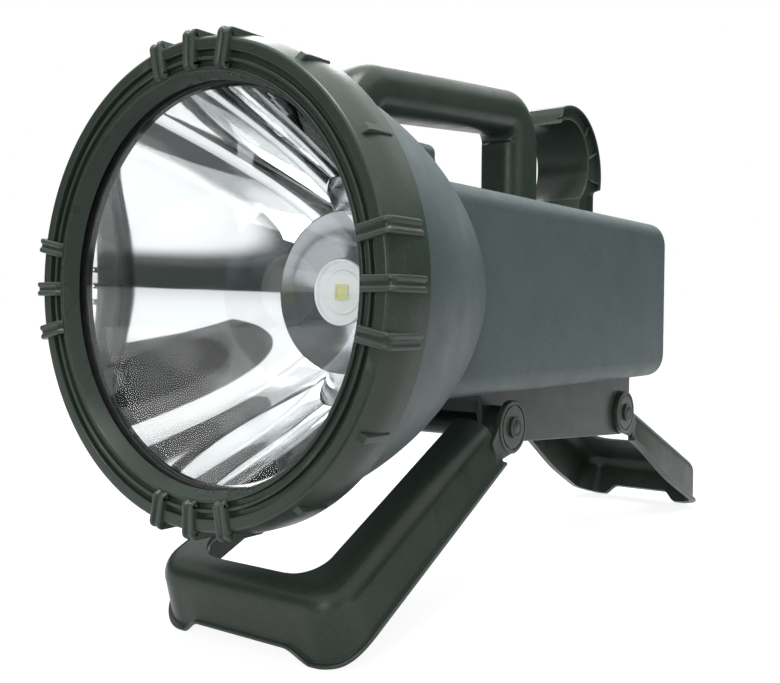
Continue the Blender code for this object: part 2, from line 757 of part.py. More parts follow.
def shell_holes():
    """Screw holes, the button's pocket, the socket's and the indicator's holes."""
    clear = SCREW_RADIUS + GAP
    holes = []
    for place in POST_PLACES:
        head = -POST_SCREW_FROM_SPLIT
        holes.append(bore(SCREW_HEAD_RADIUS + GAP, -BODY_HALF_WIDTH - OVERRUN, head, 0, place))
        holes.append(bore(clear, head - OVERRUN, POST_SCREW_BITE, 0, place))
    for side in (-1, 1):
        for y in (BRACKET_SCREW_FRONT, BRACKET_SCREW_REAR):
            top = BODY_BOTTOM + SCREW_LENGTH
            centre = (side * BRACKET_SCREW_X, y)
            holes.append(bore(clear, BODY_BOTTOM - OVERRUN, top, 2, centre))
        centre = (side * strap_screw_x(), STRAP_Y)
        low = STRAP_BOSS_TOP - SCREW_LENGTH + WALL
        holes.append(bore(clear, low, STRAP_BOSS_TOP + OVERRUN, 2, centre))
        centre = (side * HANDLE_SCREW_X, HANDLE_FRONT_POST)
        holes.append(bore(clear, HANDLE_FRONT_SEAT - OVERRUN, BELL_RADIUS, 2, centre))
        centre = (side * HANDLE_SCREW_X, HANDLE_REAR_POST)
        holes.append(bore(clear, INNER_TOP - OVERRUN, BODY_TOP + OVERRUN, 2, centre))
        centre = (side * HOOK_SCREW_X, HOOK_SCREW_Y)
        holes.append(bore(clear, INNER_TOP - OVERRUN, BODY_TOP + OVERRUN, 2, centre))
    for y, z in driver_screw_places():
        low = INNER_HALF_WIDTH - DRIVER_STANDOFF
        holes.append(bore(clear, low - OVERRUN, INNER_HALF_WIDTH, 0, (y, z)))
    pocket = BOSS_REAR - BUTTON_SUNK - BUTTON_TRAVEL - GAP
    half = (BUTTON_HALF_WIDTH + GAP, BUTTON_HALF_HEIGHT + GAP)
    z = BUTTON_HEIGHT_ABOVE_AXIS
    holes.append(box(
        "pocket", (-half[0], pocket, z - half[1]), (half[0], BOSS_REAR + OVERRUN, z + half[1]),
    ))
    low = pocket - BOSS_REAR_WALL
    holes.append(bore(BUTTON_STEM_RADIUS + GAP, low, pocket + OVERRUN, 1, (0.0, z), ROUND_STEPS))
    low = INNER_REAR - OVERRUN
    high = BODY_REAR + OVERRUN
    holes.append(bore(SOCKET_RADIUS + GAP, low, high, 1, (SOCKET_X, SOCKET_Z), SMALL_STEPS))
    holes.append(bore(LIGHT_RADIUS + GAP, low, high, 1, (SOCKET_X, LIGHT_Z), ROUND_STEPS))
    return holes


def make_shells(mat):
    """The two halves of the housing, split in the plane of the beam axis."""
    whole = cut(housing_outer(0.0), housing_cavity())
    join(whole, *inner_pads())
    cut(whole, *shell_holes())
    reach = BODY_REAR
    halves = []
    for name, side in (("body_shell_right", 1), ("body_shell_left", -1)):
        half = whole.copy()
        half.data = whole.data.copy()
        half.name = name
        bpy.context.scene.collection.objects.link(half)
        edges = sorted((side * GAP / 2, -side * reach))
        half.data.materials.clear()
        half.data.materials.append(mat)
        cut(half, box("slab", (edges[0], -reach, -reach), (edges[1], reach * 2, reach)))
        halves.append(half)
    bpy.data.objects.remove(whole)
    return halves


def make_body_screws(mat):
    places = [((-POST_SCREW_FROM_SPLIT - GAP, y, z), (1.0, 0.0, 0.0)) for y, z in POST_PLACES]
    return screws("body_screw", places, mat, length=POST_SCREW_FROM_SPLIT + SCREW_LENGTH)


# Handle

def handle_route():
    """Centre line in the plane of symmetry, as (y, z, half thickness), with its bends."""
    corners = [
        (HANDLE_FRONT_POST, BODY_TOP, HANDLE_HALF_THICKNESS),
        (HANDLE_FRONT_POST, HANDLE_FRONT_TOP, HANDLE_HALF_THICKNESS),
        (HANDLE_REAR_POST, HANDLE_REAR_TOP, HANDLE_HALF_THICKNESS),
        (HANDLE_REAR_POST, INNER_TOP, HANDLE_POST_HALF_DEPTH),
    ]
    bends = {1: HANDLE_FRONT_BEND, 2: HANDLE_REAR_BEND}
    route = [corners[0]]
    for index, radius in bends.items():
        here = Vector(corners[index][:2])
        back = (Vector(corners[index - 1][:2]) - here).normalized()
        ahead = (Vector(corners[index + 1][:2]) - here).normalized()
        half_turn = back.angle(ahead) / 2
        reach = radius / math.tan(half_turn)
        middle = here + (back + ahead).normalized() * (radius / math.sin(half_turn))
        first = here + back * reach - middle
        last = here + ahead * reach - middle
        sweep = first.angle_signed(last)
        thick = (HANDLE_HALF_THICKNESS, corners[index + 1][2])
        for i in range(7):
            spot = middle + Matrix.Rotation(-sweep * i / 6, 2) @ first
            route.append((spot.x, spot.y, thick[0] + (thick[1] - thick[0]) * i / 6))
    route.append(corners[3])
    return route


def handle_sweep(name, shrink, route, mat=None):
    """Rounded-square section swept along the route, made smaller by shrink."""
    sides = 16
    bm = bmesh.new()
    rings = []
    for index, (y, z, half) in enumerate(route):
        before = route[max(index - 1, 0)]
        after = route[min(index + 1, len(route) - 1)]
        along = Vector((0.0, after[0] - before[0], after[1] - before[1])).normalized()
        up = Vector((1.0, 0.0, 0.0)).cross(along)
        ring = []
        for i in range(sides):
            angle = math.tau * (i + 0.5) / sides
            power = 2 / HANDLE_ROUND_SHARE
            cosine, sine = math.cos(angle), math.sin(angle)
            across = math.copysign(abs(cosine) ** power, cosine) * (HANDLE_HALF_WIDTH - shrink)
            upward = math.copysign(abs(sine) ** power, sine) * (half - shrink)
            ring.append(bm.verts.new(Vector((across, y, z)) + up * upward))
        rings.append(ring)
    for one, two in zip(rings, rings[1:]):
        for i in range(sides):
            bm.faces.new((one[i - 1], one[i], two[i], two[i - 1]))
    bm.faces.new(rings[0])
    bm.faces.new(rings[-1])
    return piece(name, bm, mat)


def make_handle(mat):
    route = handle_route()
    tube = handle_sweep("handle", 0.0, route, mat)
    cut(tube, handle_sweep("core", HANDLE_WALL, route[3:-4]), housing_outer(GAP))
    vent_top = route[3][1]
    holes = [bore(HANDLE_VENT_RADIUS, BODY_TOP, vent_top, 2, (0.0, HANDLE_FRONT_POST + OVERRUN))]
    for side in (-1, 1):
        x = side * HANDLE_SCREW_X
        front_top = HANDLE_FRONT_SEAT + SCREW_LENGTH + WALL + OVERRUN
        holes.append(bore(SCREW_RADIUS + GAP, BODY_TOP, front_top, 2, (x, HANDLE_FRONT_POST)))
        rear_top = INNER_TOP + SCREW_LENGTH + GAP
        holes.append(bore(SCREW_RADIUS + GAP, INNER_TOP, rear_top, 2, (x, HANDLE_REAR_POST)))
    return cut(tube, *holes)


def make_handle_screws(mat):
    places = []
    for side in (-1, 1):
        x = side * HANDLE_SCREW_X
        places.append(((x, HANDLE_FRONT_POST, HANDLE_FRONT_SEAT - GAP), (0.0, 0.0, 1.0)))
        places.append(((x, HANDLE_REAR_POST, INNER_TOP - GAP), (0.0, 0.0, 1.0)))
    return screws("handle_screw", places, mat)


# Cord hook

def make_hook(mat):
    inner = arc(
        (HOOK_INNER_Y, HOOK_INNER_Z), HOOK_INNER_RADIUS, HOOK_TIP_ANGLE, -math.pi / 3, 12
    )
    notch = math.acos((HOOK_NECK_Y - HOOK_OUTER_Y) / HOOK_OUTER_RADIUS)
    outer = arc(
        (HOOK_OUTER_Y, HOOK_OUTER_Z), HOOK_OUTER_RADIUS, -notch / 4, HOOK_TIP_ANGLE - HOOK_TIP_CUT, 12
    )
    base = BODY_TOP + GAP
    neck_top = HOOK_OUTER_Z - HOOK_OUTER_RADIUS / 4
    outline = [
        *inner, (HOOK_FOOT_Y, base), (HOOK_NECK_Y, base), (HOOK_NECK_Y, neck_top - HOOK_EDGE * 2),
        (HOOK_NECK_Y + HOOK_EDGE, neck_top), *outer,
    ]
    hook = prism("cord_hook", outline, -HOOK_HALF_WIDTH, HOOK_HALF_WIDTH, 0, mat)
    bm = bmesh.new()
    bm.from_mesh(hook.data)
    rims = [
        edge for edge in bm.edges
        if abs(edge.verts[0].co.x - edge.verts[1].co.x) < TINY
        and min(vert.co.z for vert in edge.verts) > base + TINY
    ]
    bmesh.ops.bevel(bm, geom=rims, offset=HOOK_EDGE, segments=1, profile=0.5, affect="EDGES")
    bm.to_mesh(hook.data)
    bm.free()
    top = INNER_TOP + SCREW_LENGTH + GAP
    holes = [
        bore(SCREW_RADIUS + GAP, base - OVERRUN, top, 2, (side * HOOK_SCREW_X, HOOK_SCREW_Y))
        for side in (-1, 1)
    ]
    return cut(hook, *holes)


def make_hook_screws(mat):
    places = [
        ((side * HOOK_SCREW_X, HOOK_SCREW_Y, INNER_TOP - GAP), (0.0, 0.0, 1.0)) for side in (-1, 1)
    ]
    return screws("hook_screw", places, mat)


# Switch

def make_button(mat):
    """A wide cap, hollow behind, with a stem that reaches the switch."""
    z = BUTTON_HEIGHT_ABOVE_AXIS
    front = BOSS_REAR - BUTTON_SUNK
    rear = BOSS_REAR + BUTTON_PROUD
    cap = box(
        "switch_button", (-BUTTON_HALF_WIDTH, front, z - BUTTON_HALF_HEIGHT),
        (BUTTON_HALF_WIDTH, rear, z + BUTTON_HALF_HEIGHT), mat, edge=BUTTON_EDGE,
    )
    hollow = box(
        "hollow",
        (-BUTTON_HALF_WIDTH + BUTTON_WALL, front - OVERRUN, z - BUTTON_HALF_HEIGHT + BUTTON_WALL),
        (BUTTON_HALF_WIDTH - BUTTON_WALL, rear - BUTTON_WALL, z + BUTTON_HALF_HEIGHT - BUTTON_WALL),
    )
    cut(cap, hollow)
    stem = rod(
        "stem", BUTTON_STEM_RADIUS, switch_rear() + BUTTON_TRAVEL + GAP, rear - BUTTON_WALL / 2,
        1, (0.0, z), steps=ROUND_STEPS,
    )
    return join(cap, stem)


def switch_rear():
    """Rear end of the switch's body, against the inner face of the boss's thick wall."""
    return BOSS_REAR - BOSS_REAR_WALL - GAP


def make_spring(mat):
    """Coil between the pocket's floor and the cap, round the stem."""
    front = BOSS_REAR - BUTTON_SUNK - BUTTON_TRAVEL + SPRING_WIRE
    rear = BOSS_REAR + BUTTON_PROUD - BUTTON_WALL - GAP - SPRING_WIRE
    count = 12 * SPRING_TURNS
    curve = bpy.data.curves.new("button_spring", "CURVE")
    curve.dimensions = "3D"
    curve.bevel_depth = SPRING_WIRE
    curve.bevel_resolution = 0
    curve.resolution_u = 1
    curve.use_fill_caps = True
    spline = curve.splines.new("POLY")
    spline.points.add(count)
    for i, point in enumerate(spline.points):
        angle = math.tau * SPRING_TURNS * i / count
        y = front + (rear - front) * i / count
        x = SPRING_RADIUS * math.cos(angle)
        z = BUTTON_HEIGHT_ABOVE_AXIS + SPRING_RADIUS * math.sin(angle)
        point.co = (x, y, z, 1.0)
    return as_mesh("button_spring", curve, mat)


def as_mesh(name, curve, mat):
    """A mesh object from a curve, with the mesh closed and facing out."""
    drawn = bpy.data.objects.new("curve", curve)
    bpy.context.scene.collection.objects.link(drawn)
    bpy.context.view_layer.update()
    graph = bpy.context.evaluated_depsgraph_get()
    mesh = bpy.data.meshes.new_from_object(drawn.evaluated_get(graph))
    bm = bmesh.new()
    bm.from_mesh(mesh)
    bpy.data.objects.remove(drawn)
    return piece(name, bm, mat)


def make_switch(mat):
    rear = switch_rear()
    z = BUTTON_HEIGHT_ABOVE_AXIS
    low = (-SWITCH_HALF_WIDTH, rear - SWITCH_LENGTH, z - SWITCH_HALF_HEIGHT)
    high = (SWITCH_HALF_WIDTH, rear, z + SWITCH_HALF_HEIGHT)
    return box("switch_body", low, high, mat, edge=GAP * 2, segments=1)


# Stand bracket, pins and legs

def bracket_outline(inset):
    """Side view of the bracket: flat on top, round below each hinge."""
    top = BODY_BOTTOM - GAP - inset
    front = BRACKET_FRONT_NOSE - inset
    rear = BRACKET_REAR_NOSE - inset
    return [
        (FRONT_HINGE_Y - BRACKET_REAR_NOSE + inset, top),
        *arc(FRONT_HINGE, front, math.pi, math.pi * 1.5, 5),
        *arc(REAR_HINGE, rear, -math.pi / 2, 0.0, 5),
        (REAR_HINGE_Y + rear, top),
    ]


def make_bracket(mat):
    wide = BRACKET_HALF_WIDTH
    bracket = prism("stand_bracket", bracket_outline(0.0), -wide, wide, 0, mat)
    half = BRACKET_HALF_WIDTH - BRACKET_WALL
    inner = bracket_outline(BRACKET_WALL)
    low = REAR_HINGE_Z - BRACKET_REAR_NOSE - OVERRUN
    opening = [inner[0], (inner[0][0], low), (inner[-1][0], low), inner[-1]]
    cut(bracket, prism("hollow", opening, -half, half, 0))
    parts = [
        rod("tube", PIN_TUBE_RADIUS, -half - GAP, half + GAP, 0, hinge, steps=SMALL_STEPS)
        for hinge in (FRONT_HINGE, REAR_HINGE)
    ]
    boss_end = FRONT_HINGE_HALF_WIDTH - STAND_WALL - GAP
    for side in (-1, 1):
        ends = sorted((side * (BRACKET_HALF_WIDTH - BRACKET_WALL / 2), side * boss_end))
        parts.append(rod("boss", HINGE_BOSS_RADIUS, ends[0], ends[1], 0, FRONT_HINGE))
    join(bracket, *parts)
    pins = [
        bore(PIN_RADIUS + GAP, -FRONT_HINGE_HALF_WIDTH, FRONT_HINGE_HALF_WIDTH, 0, hinge, ROUND_STEPS)
        for hinge in (FRONT_HINGE, REAR_HINGE)
    ]
    bores = [
        rod(
            "bore", SCREW_RADIUS + GAP, BODY_BOTTOM - BRACKET_WALL - OVERRUN, BODY_BOTTOM + OVERRUN, 2,
            (side * BRACKET_SCREW_X, y), steps=BORE_STEPS,
        )
        for side in (-1, 1) for y in (BRACKET_SCREW_FRONT, BRACKET_SCREW_REAR)
    ]
    return cut(bracket, *pins, *bores)


def make_bracket_screws(mat):
    seat = BODY_BOTTOM - GAP - BRACKET_WALL - GAP
    places = [
        ((side * BRACKET_SCREW_X, y, seat), (0.0, 0.0, 1.0))
        for side in (-1, 1) for y in (BRACKET_SCREW_FRONT, BRACKET_SCREW_REAR)
    ]
    return screws("bracket_screw", places, mat)


def ear_face(half_width):
    return half_width + EAR_PROUD


def turned_about_x(obj, hinge):
    """Lays a lathed piece along X, on a hinge axis."""
    obj.data.transform(Matrix.Translation((0.0, *hinge)) @ Matrix.Rotation(-math.pi / 2, 4, "Z"))
    return obj


def make_pin(name, hinge, half_width, mat):
    """A hinge pin with a domed head outside the +X ear."""
    face = ear_face(half_width) + GAP
    outline = [
        (0.0, -face - PIN_HEAD), (PIN_RADIUS, -face - PIN_HEAD), (PIN_RADIUS, face),
        (PIN_HEAD_RADIUS, face), (PIN_HEAD_RADIUS * 0.8, face + PIN_HEAD), (0.0, face + PIN_HEAD),
    ]
    return turned_about_x(lathe(name, outline, mat, steps=SMALL_STEPS), hinge)


def make_washer(name, hinge, half_width, mat):
    """Push-on washer that holds a pin at its -X end."""
    face = ear_face(half_width) + GAP
    inner = PIN_RADIUS + GAP
    outline = [
        (inner, -face), (PIN_HEAD_RADIUS, -face),
        (PIN_HEAD_RADIUS, -face - PIN_HEAD / 2), (inner, -face - PIN_HEAD / 2),
    ]
    return turned_about_x(lathe(name, outline, mat, steps=SMALL_STEPS), hinge)


def stand_corner(edge, radius, slope, reach):
    """Centre of a corner that joins a sloping side, at x = edge + slope * y, to y = reach."""
    lean = -math.atan(slope)
    y = reach - radius
    touch = y + radius * math.sin(lean)
    return Vector((edge + slope * touch - radius * math.cos(lean), y))


def stand_stations(half_widths, reach, band, drops):
    """Matched points of the U in plan: (outer point, outward normal, inner point, lower edge).

    They run from the +X arm round the crossbar to the -X arm. The drops are those of the
    arm's root, its middle, the foot and the crossbar's middle.
    """
    root, belly, foot, middle = drops
    hinge_half, foot_half = half_widths
    slope = (foot_half - hinge_half) / reach
    lean = -math.atan(slope)
    centre = stand_corner(hinge_half, STAND_CORNER, slope, reach)
    window = stand_corner(hinge_half - ARM_BAND, WINDOW_CORNER, slope, reach - band)
    side = Vector((math.cos(lean), math.sin(lean)))
    stations = []
    for share, drop in ((0.0, root), (0.3, (root + belly) / 2), (0.7, belly)):
        y = STAND_CLEAR + (centre.y - STAND_CLEAR) * share
        inner_y = STAND_CLEAR + (window.y - STAND_CLEAR) * share
        outer = Vector((hinge_half + slope * y, y))
        inner = Vector((hinge_half - ARM_BAND + slope * inner_y, inner_y))
        stations.append((outer, side, inner, drop))
    count = 6
    for i in range(count + 1):
        angle = lean + (math.pi / 2 - lean) * i / count
        normal = Vector((math.cos(angle), math.sin(angle)))
        swell = min(1.0, 1.5 * i / count)
        drop = belly + (foot - belly) * swell
        stations.append((
            centre + normal * STAND_CORNER, normal, window + normal * WINDOW_CORNER, drop
        ))
    up = Vector((0.0, 1.0))
    for share, low_share in ((0.9, 0.85), (0.66, 0.1), (0.5, 0.0)):
        x = centre.x * share
        inner = Vector((min(x, window.x), reach - band))
        drop = middle + (foot - middle) * low_share
        stations.append((Vector((x, reach)), up, inner, drop))
    mirrored = [
        (Vector((-o.x, o.y)), Vector((-n.x, n.y)), Vector((-i.x, i.y)), drop)
        for o, n, i, drop in reversed(stations)
    ]
    return stations + mirrored


def stand_section(top, outer, normal, inner, drop):
    """Section at a station: lip, leaning wall, rounded shoulder, top plate, and back inside."""
    high = outer - normal * STAND_DRAFT
    places = [
        (outer + normal * STAND_LIP, -drop),
        (outer + normal * STAND_LIP, -drop + STAND_LIP_THICKNESS),
        (outer, -drop + STAND_LIP_THICKNESS),
        (high, top - STAND_EDGE),
    ]
    for i in (1, 2):
        angle = math.pi / 6 * i
        places.append((
            high - normal * STAND_EDGE * (1 - math.cos(angle)),
            top - STAND_EDGE * (1 - math.sin(angle)),
        ))
    round_in = STAND_EDGE - STAND_WALL
    places += [
        (high - normal * STAND_EDGE, top),
        (inner, top),
        (inner, top - STAND_WALL),
        (high - normal * STAND_EDGE, top - STAND_WALL),
        (high - normal * (STAND_WALL + round_in * 0.3), top - STAND_WALL - round_in * 0.3),
        (high - normal * STAND_WALL, top - STAND_EDGE),
        (outer - normal * STAND_WALL, -drop),
    ]
    return places


def make_stand(name, hinge, half_widths, foot_y, top, band, drops, mat):
    """A U-shaped leg, modelled flat with its hinge axis as origin, then tilted to the floor."""
    height = AXIS_HEIGHT + hinge[1]
    foot_drop = drops[2]
    span = math.hypot(foot_y - hinge[0], height + FOOT_FLAT)
    reach = math.sqrt(span ** 2 - foot_drop ** 2) - STAND_LIP
    tilt = math.asin((height + FOOT_FLAT) / span) - math.atan2(foot_drop, reach + STAND_LIP)
    bm = bmesh.new()
    rings = []
    for station in stand_stations(half_widths, reach, band, drops):
        rings.append([bm.verts.new((*place, z)) for place, z in stand_section(top, *station)])
    for one, two in zip(rings, rings[1:]):
        for i in range(len(one)):
            bm.faces.new((one[i - 1], one[i], two[i], two[i - 1]))
    bm.faces.new(rings[0])
    bm.faces.new(rings[-1])
    leg = piece(name, bm, mat)
    ear = [
        *arc((0.0, 0.0), EAR_RADIUS, math.pi / 2, math.pi * 1.5, 10),
        (STAND_CLEAR + OVERRUN, -drops[0] + STAND_LIP_THICKNESS * 2),
        (STAND_CLEAR + OVERRUN, top - STAND_EDGE),
    ]
    hinge_half = half_widths[0]
    for side in (-1, 1):
        ends = sorted((side * (hinge_half - STAND_WALL), side * ear_face(hinge_half)))
        join(leg, prism("ear", ear, ends[0], ends[1], 0))
    far = hinge_half + OVERRUN
    cut(leg, bore(PIN_RADIUS + GAP, -far, far, 0, (0.0, 0.0), ROUND_STEPS))
    side = 1 if foot_y > hinge[0] else -1
    if side < 0:
        leg.data.transform(Matrix.Rotation(math.pi, 4, "Z"))
    leg.data.transform(Matrix.Rotation(-side * tilt, 4, "X"))
    wide = hinge_half * 2
    cut(leg, box("floor", (-wide, -span * 2, -height - wide), (wide, span * 2, -height)))
    leg.location = (0.0, *hinge)
    return leg


# Battery

def strap_screw_x():
    return BATTERY_HALF_WIDTH + STRAP_THICKNESS + STRAP_TAB / 2 + GAP * 2


def make_pad(mat):
    low = (-BATTERY_HALF_WIDTH, BATTERY_FRONT, INNER_BOTTOM + GAP)
    high = (BATTERY_HALF_WIDTH, BATTERY_FRONT + BATTERY_LENGTH, INNER_BOTTOM + GAP + BATTERY_PAD)
    return box("battery_pad", low, high, mat)


def battery_base():
    return INNER_BOTTOM + GAP + BATTERY_PAD + GAP


def make_battery(mat):
    base = battery_base()
    top = base + BATTERY_HEIGHT
    rear = BATTERY_FRONT + BATTERY_LENGTH
    pack = box(
        "battery_pack", (-BATTERY_HALF_WIDTH, BATTERY_FRONT, base), (BATTERY_HALF_WIDTH, rear, top),
        mat, edge=BATTERY_EDGE, segments=2,
    )
    tabs = []
    for side in (-1, 1):
        x = side * BATTERY_HALF_WIDTH / 2
        y = BATTERY_FRONT + TERMINAL_SIZE * 2
        tabs.append(box(
            "tab", (x - TERMINAL_SIZE / 2, y, top - BATTERY_EDGE),
            (x + TERMINAL_SIZE / 2, y + WALL, top + TERMINAL_SIZE),
        ))
    return join(pack, *tabs)


def make_strap(mat):
    """A bent strip over the battery, with a tab at each foot."""
    half = BATTERY_HALF_WIDTH + GAP
    top = battery_base() + BATTERY_HEIGHT + GAP
    foot = STRAP_BOSS_TOP + GAP
    out = half + STRAP_THICKNESS
    tab = out + STRAP_TAB
    side = [(half, foot), (tab, foot), (tab, foot + STRAP_THICKNESS), (out, foot + STRAP_THICKNESS)]
    outline = [
        (half, top), *side, (out, top + STRAP_THICKNESS),
        (-out, top + STRAP_THICKNESS), *[(-x, z) for x, z in reversed(side)], (-half, top),
    ]
    half = STRAP_WIDTH / 2
    strap = prism("battery_strap", outline, STRAP_Y - half, STRAP_Y + half, 1, mat)
    holes = [
        bore(SCREW_RADIUS + GAP, foot - OVERRUN, foot + OVERRUN, 2, (side * strap_screw_x(), STRAP_Y))
        for side in (-1, 1)
    ]
    return cut(strap, *holes)


def make_strap_screws(mat):
    seat = STRAP_BOSS_TOP + GAP + STRAP_THICKNESS + GAP
    places = [((side * strap_screw_x(), STRAP_Y, seat), (0.0, 0.0, -1.0)) for side in (-1, 1)]
    return screws("strap_screw", places, mat, length=SCREW_LENGTH - WALL)


# Driver board, on two pads of the right shell

def driver_screw_places():
    inset = DRIVER_SCREW_INSET
    return [
        (DRIVER_FRONT + inset, DRIVER_BOTTOM + inset),
        (DRIVER_FRONT + DRIVER_LENGTH - inset, DRIVER_BOTTOM + DRIVER_HEIGHT - inset),
    ]


def make_driver(mat):
    face = INNER_HALF_WIDTH - DRIVER_STANDOFF - GAP
    top = DRIVER_BOTTOM + DRIVER_HEIGHT
    rear = DRIVER_FRONT + DRIVER_LENGTH
    board = box(
        "driver_board", (face - DRIVER_THICKNESS, DRIVER_FRONT, DRIVER_BOTTOM), (face, rear, top), mat
    )
    low = face - DRIVER_THICKNESS - DRIVER_PART_HEIGHT
    high = face - DRIVER_THICKNESS / 2
    middle = (DRIVER_FRONT + DRIVER_LENGTH / 2, DRIVER_BOTTOM + DRIVER_HEIGHT / 2)
    chip = DRIVER_COIL_RADIUS
    parts = [
        rod("coil", chip, low, high, 0, (middle[0] - chip * 2, middle[1] + chip), steps=ROUND_STEPS),
        rod("can", chip / 2, low, high, 0, (middle[0], middle[1] - chip), steps=BORE_STEPS),
        rod("can", chip / 2, low, high, 0, (middle[0] + chip * 1.5, middle[1] - chip), steps=BORE_STEPS),
        box(
            "chip", (high - DRIVER_THICKNESS * 2, middle[0] + chip / 2, middle[1] + chip / 4),
            (high, middle[0] + chip * 2, middle[1] + chip * 1.5),
        ),
    ]
    join(board, *parts)
    holes = [
        bore(SCREW_RADIUS + GAP, face - OVERRUN, face + OVERRUN, 0, place)
        for place in driver_screw_places()
    ]
    return cut(board, *holes)


def make_board_screws(mat):
    seat = INNER_HALF_WIDTH - DRIVER_STANDOFF - GAP - DRIVER_THICKNESS - GAP
    places = [((seat, y, z), (1.0, 0.0, 0.0)) for y, z in driver_screw_places()]
    return screws("board_screw", places, mat, length=DRIVER_STANDOFF)


# Charging socket, cover and indicator

def cap_axis():
    """(y, z) of the cover's hinge."""
    return (
        BODY_REAR + GAP + PLATE_THICKNESS + GAP + CAP_KNUCKLE_RADIUS,
        SOCKET_Z + CAP_HINGE_ABOVE,
    )


def make_socket(mat):
    """Barrel through the rear wall, a face plate and two hinge lugs."""
    front = BODY_REAR + GAP
    rear = front + PLATE_THICKNESS
    plate = box(
        "charge_socket", (SOCKET_X - PLATE_HALF_WIDTH, front, SOCKET_Z - PLATE_BELOW),
        (SOCKET_X + PLATE_HALF_WIDTH, rear, SOCKET_Z + PLATE_ABOVE), mat,
    )
    barrel = rod("barrel", SOCKET_RADIUS, front - SOCKET_DEPTH, rear - GAP, 1, (SOCKET_X, SOCKET_Z))
    y, z = cap_axis()
    knuckle = CAP_KNUCKLE_RADIUS
    lugs = []
    for side in (-1, 1):
        edges = sorted((
            SOCKET_X + side * (LUG_INNER + GAP), SOCKET_X + side * (LUG_INNER + GAP + LUG_WIDTH),
        ))
        root = rear - PLATE_THICKNESS / 2
        outline = [
            (root, z - knuckle), *arc((y, z), knuckle, -math.pi / 2, math.pi / 2, 6), (root, z + knuckle),
        ]
        lugs.append(prism("lug", outline, edges[0], edges[1], 0))
    join(plate, barrel, *lugs)
    place = (SOCKET_X, SOCKET_Z)
    mouth = bore(SOCKET_BORE, rear - SOCKET_DEPTH, rear + OVERRUN, 1, place, ROUND_STEPS)
    far = PLATE_HALF_WIDTH + OVERRUN
    pin = bore(CAP_PIN_RADIUS + GAP, SOCKET_X - far, SOCKET_X + far, 0, (y, z))
    return cut(plate, mouth, pin)


def make_cap(mat):
    """Rubber cover with a knuckle between the lugs."""
    y, z = cap_axis()
    front = BODY_REAR + GAP + PLATE_THICKNESS + GAP
    cover = box(
        "socket_cap", (SOCKET_X - PLATE_HALF_WIDTH, front, SOCKET_Z - PLATE_BELOW),
        (SOCKET_X + PLATE_HALF_WIDTH, front + CAP_THICKNESS, z - CAP_KNUCKLE_RADIUS - GAP * 2), mat,
        edge=CAP_THICKNESS / 4, segments=1,
    )
    neck = box(
        "neck", (SOCKET_X - LUG_INNER, front, z - CAP_KNUCKLE_RADIUS - PLATE_THICKNESS),
        (SOCKET_X + LUG_INNER, front + CAP_THICKNESS, z),
    )
    knuckle = rod(
        "knuckle", CAP_KNUCKLE_RADIUS, SOCKET_X - LUG_INNER, SOCKET_X + LUG_INNER, 0, (y, z),
        steps=ROUND_STEPS,
    )
    join(cover, neck, knuckle)
    far = PLATE_HALF_WIDTH
    pin = bore(CAP_PIN_RADIUS + GAP, SOCKET_X - far, SOCKET_X + far, 0, (y, z))
    cut(cover, pin)
    return move_origin(cover, (SOCKET_X, y, z))


def make_cap_pin(mat):
    half = LUG_INNER + GAP + LUG_WIDTH
    low = SOCKET_X - half
    high = SOCKET_X + half
    return rod("cap_pin", CAP_PIN_RADIUS, low, high, 0, cap_axis(), mat, steps=BORE_STEPS)


def make_light(mat):
    front = BODY_REAR - LIGHT_LENGTH
    rear = BODY_REAR + GAP
    proud = rear + LIGHT_RADIUS / 2
    outline = [
        (0.0, front), (LIGHT_RADIUS, front), (LIGHT_RADIUS, rear),
        (LIGHT_RADIUS * 1.4, rear), (LIGHT_RADIUS, proud), (0.0, proud + LIGHT_RADIUS / 2),
    ]
    return lathe("charge_light", outline, mat, steps=ROUND_STEPS, centre=(SOCKET_X, LIGHT_Z))


# Cables

def smooth_route(points, per_span=5):
    """Points on a smooth curve through the given ones."""
    ends = [points[0], *points, points[-1]]
    route = []
    for a, b, c, d in zip(ends, ends[1:], ends[2:], ends[3:]):
        for i in range(per_span):
            t = i / per_span
            route.append(
                b + (c - a) * t / 2 + (a * 2 - b * 5 + c * 4 - d) * t * t / 2
                + (b * 3 - a - c * 3 + d) * t * t * t / 2
            )
    route.append(points[-1])
    return route


def cable(name, points, mat):
    """A sleeved pair of wires along a smooth route."""
    points = smooth_route([Vector(point) for point in points])
    curve = bpy.data.curves.new(name, "CURVE")
    curve.dimensions = "3D"
    curve.bevel_depth = CABLE_RADIUS
    curve.bevel_resolution = 1
    curve.resolution_u = 1
    curve.use_fill_caps = True
    spline = curve.splines.new("POLY")
    spline.points.add(len(points) - 1)
    for target, point in zip(spline.points, points):
        target.co = (*point, 1.0)
    return as_mesh(name, curve, mat)


def board_face():
    """Inner face of the driver board, where the cables are soldered."""
    return INNER_HALF_WIDTH - DRIVER_STANDOFF - GAP - DRIVER_THICKNESS - GAP


def make_lamp_cable(mat):
    """From the driver board to the back of the heat sink."""
    start = board_face() - CABLE_RADIUS
    sink_back = SINK_REAR + SINK_FIN_LENGTH
    z = DRIVER_BOTTOM + DRIVER_HEIGHT / 2
    x = SINK_FIN_PITCH / 2
    return cable("lamp_cable", [
        (start, DRIVER_FRONT + CABLE_PITCH, z),
        (start - CABLE_PITCH, DRIVER_FRONT - CABLE_SWEEP, z),
        (SINK_FIN_REACH, sink_back + CABLE_SWEEP * 2, z / 2),
        (x, sink_back + CABLE_SWEEP, 0.0),
        (x, sink_back, 0.0),
        (x, SINK_REAR + GAP, 0.0),
    ], mat)


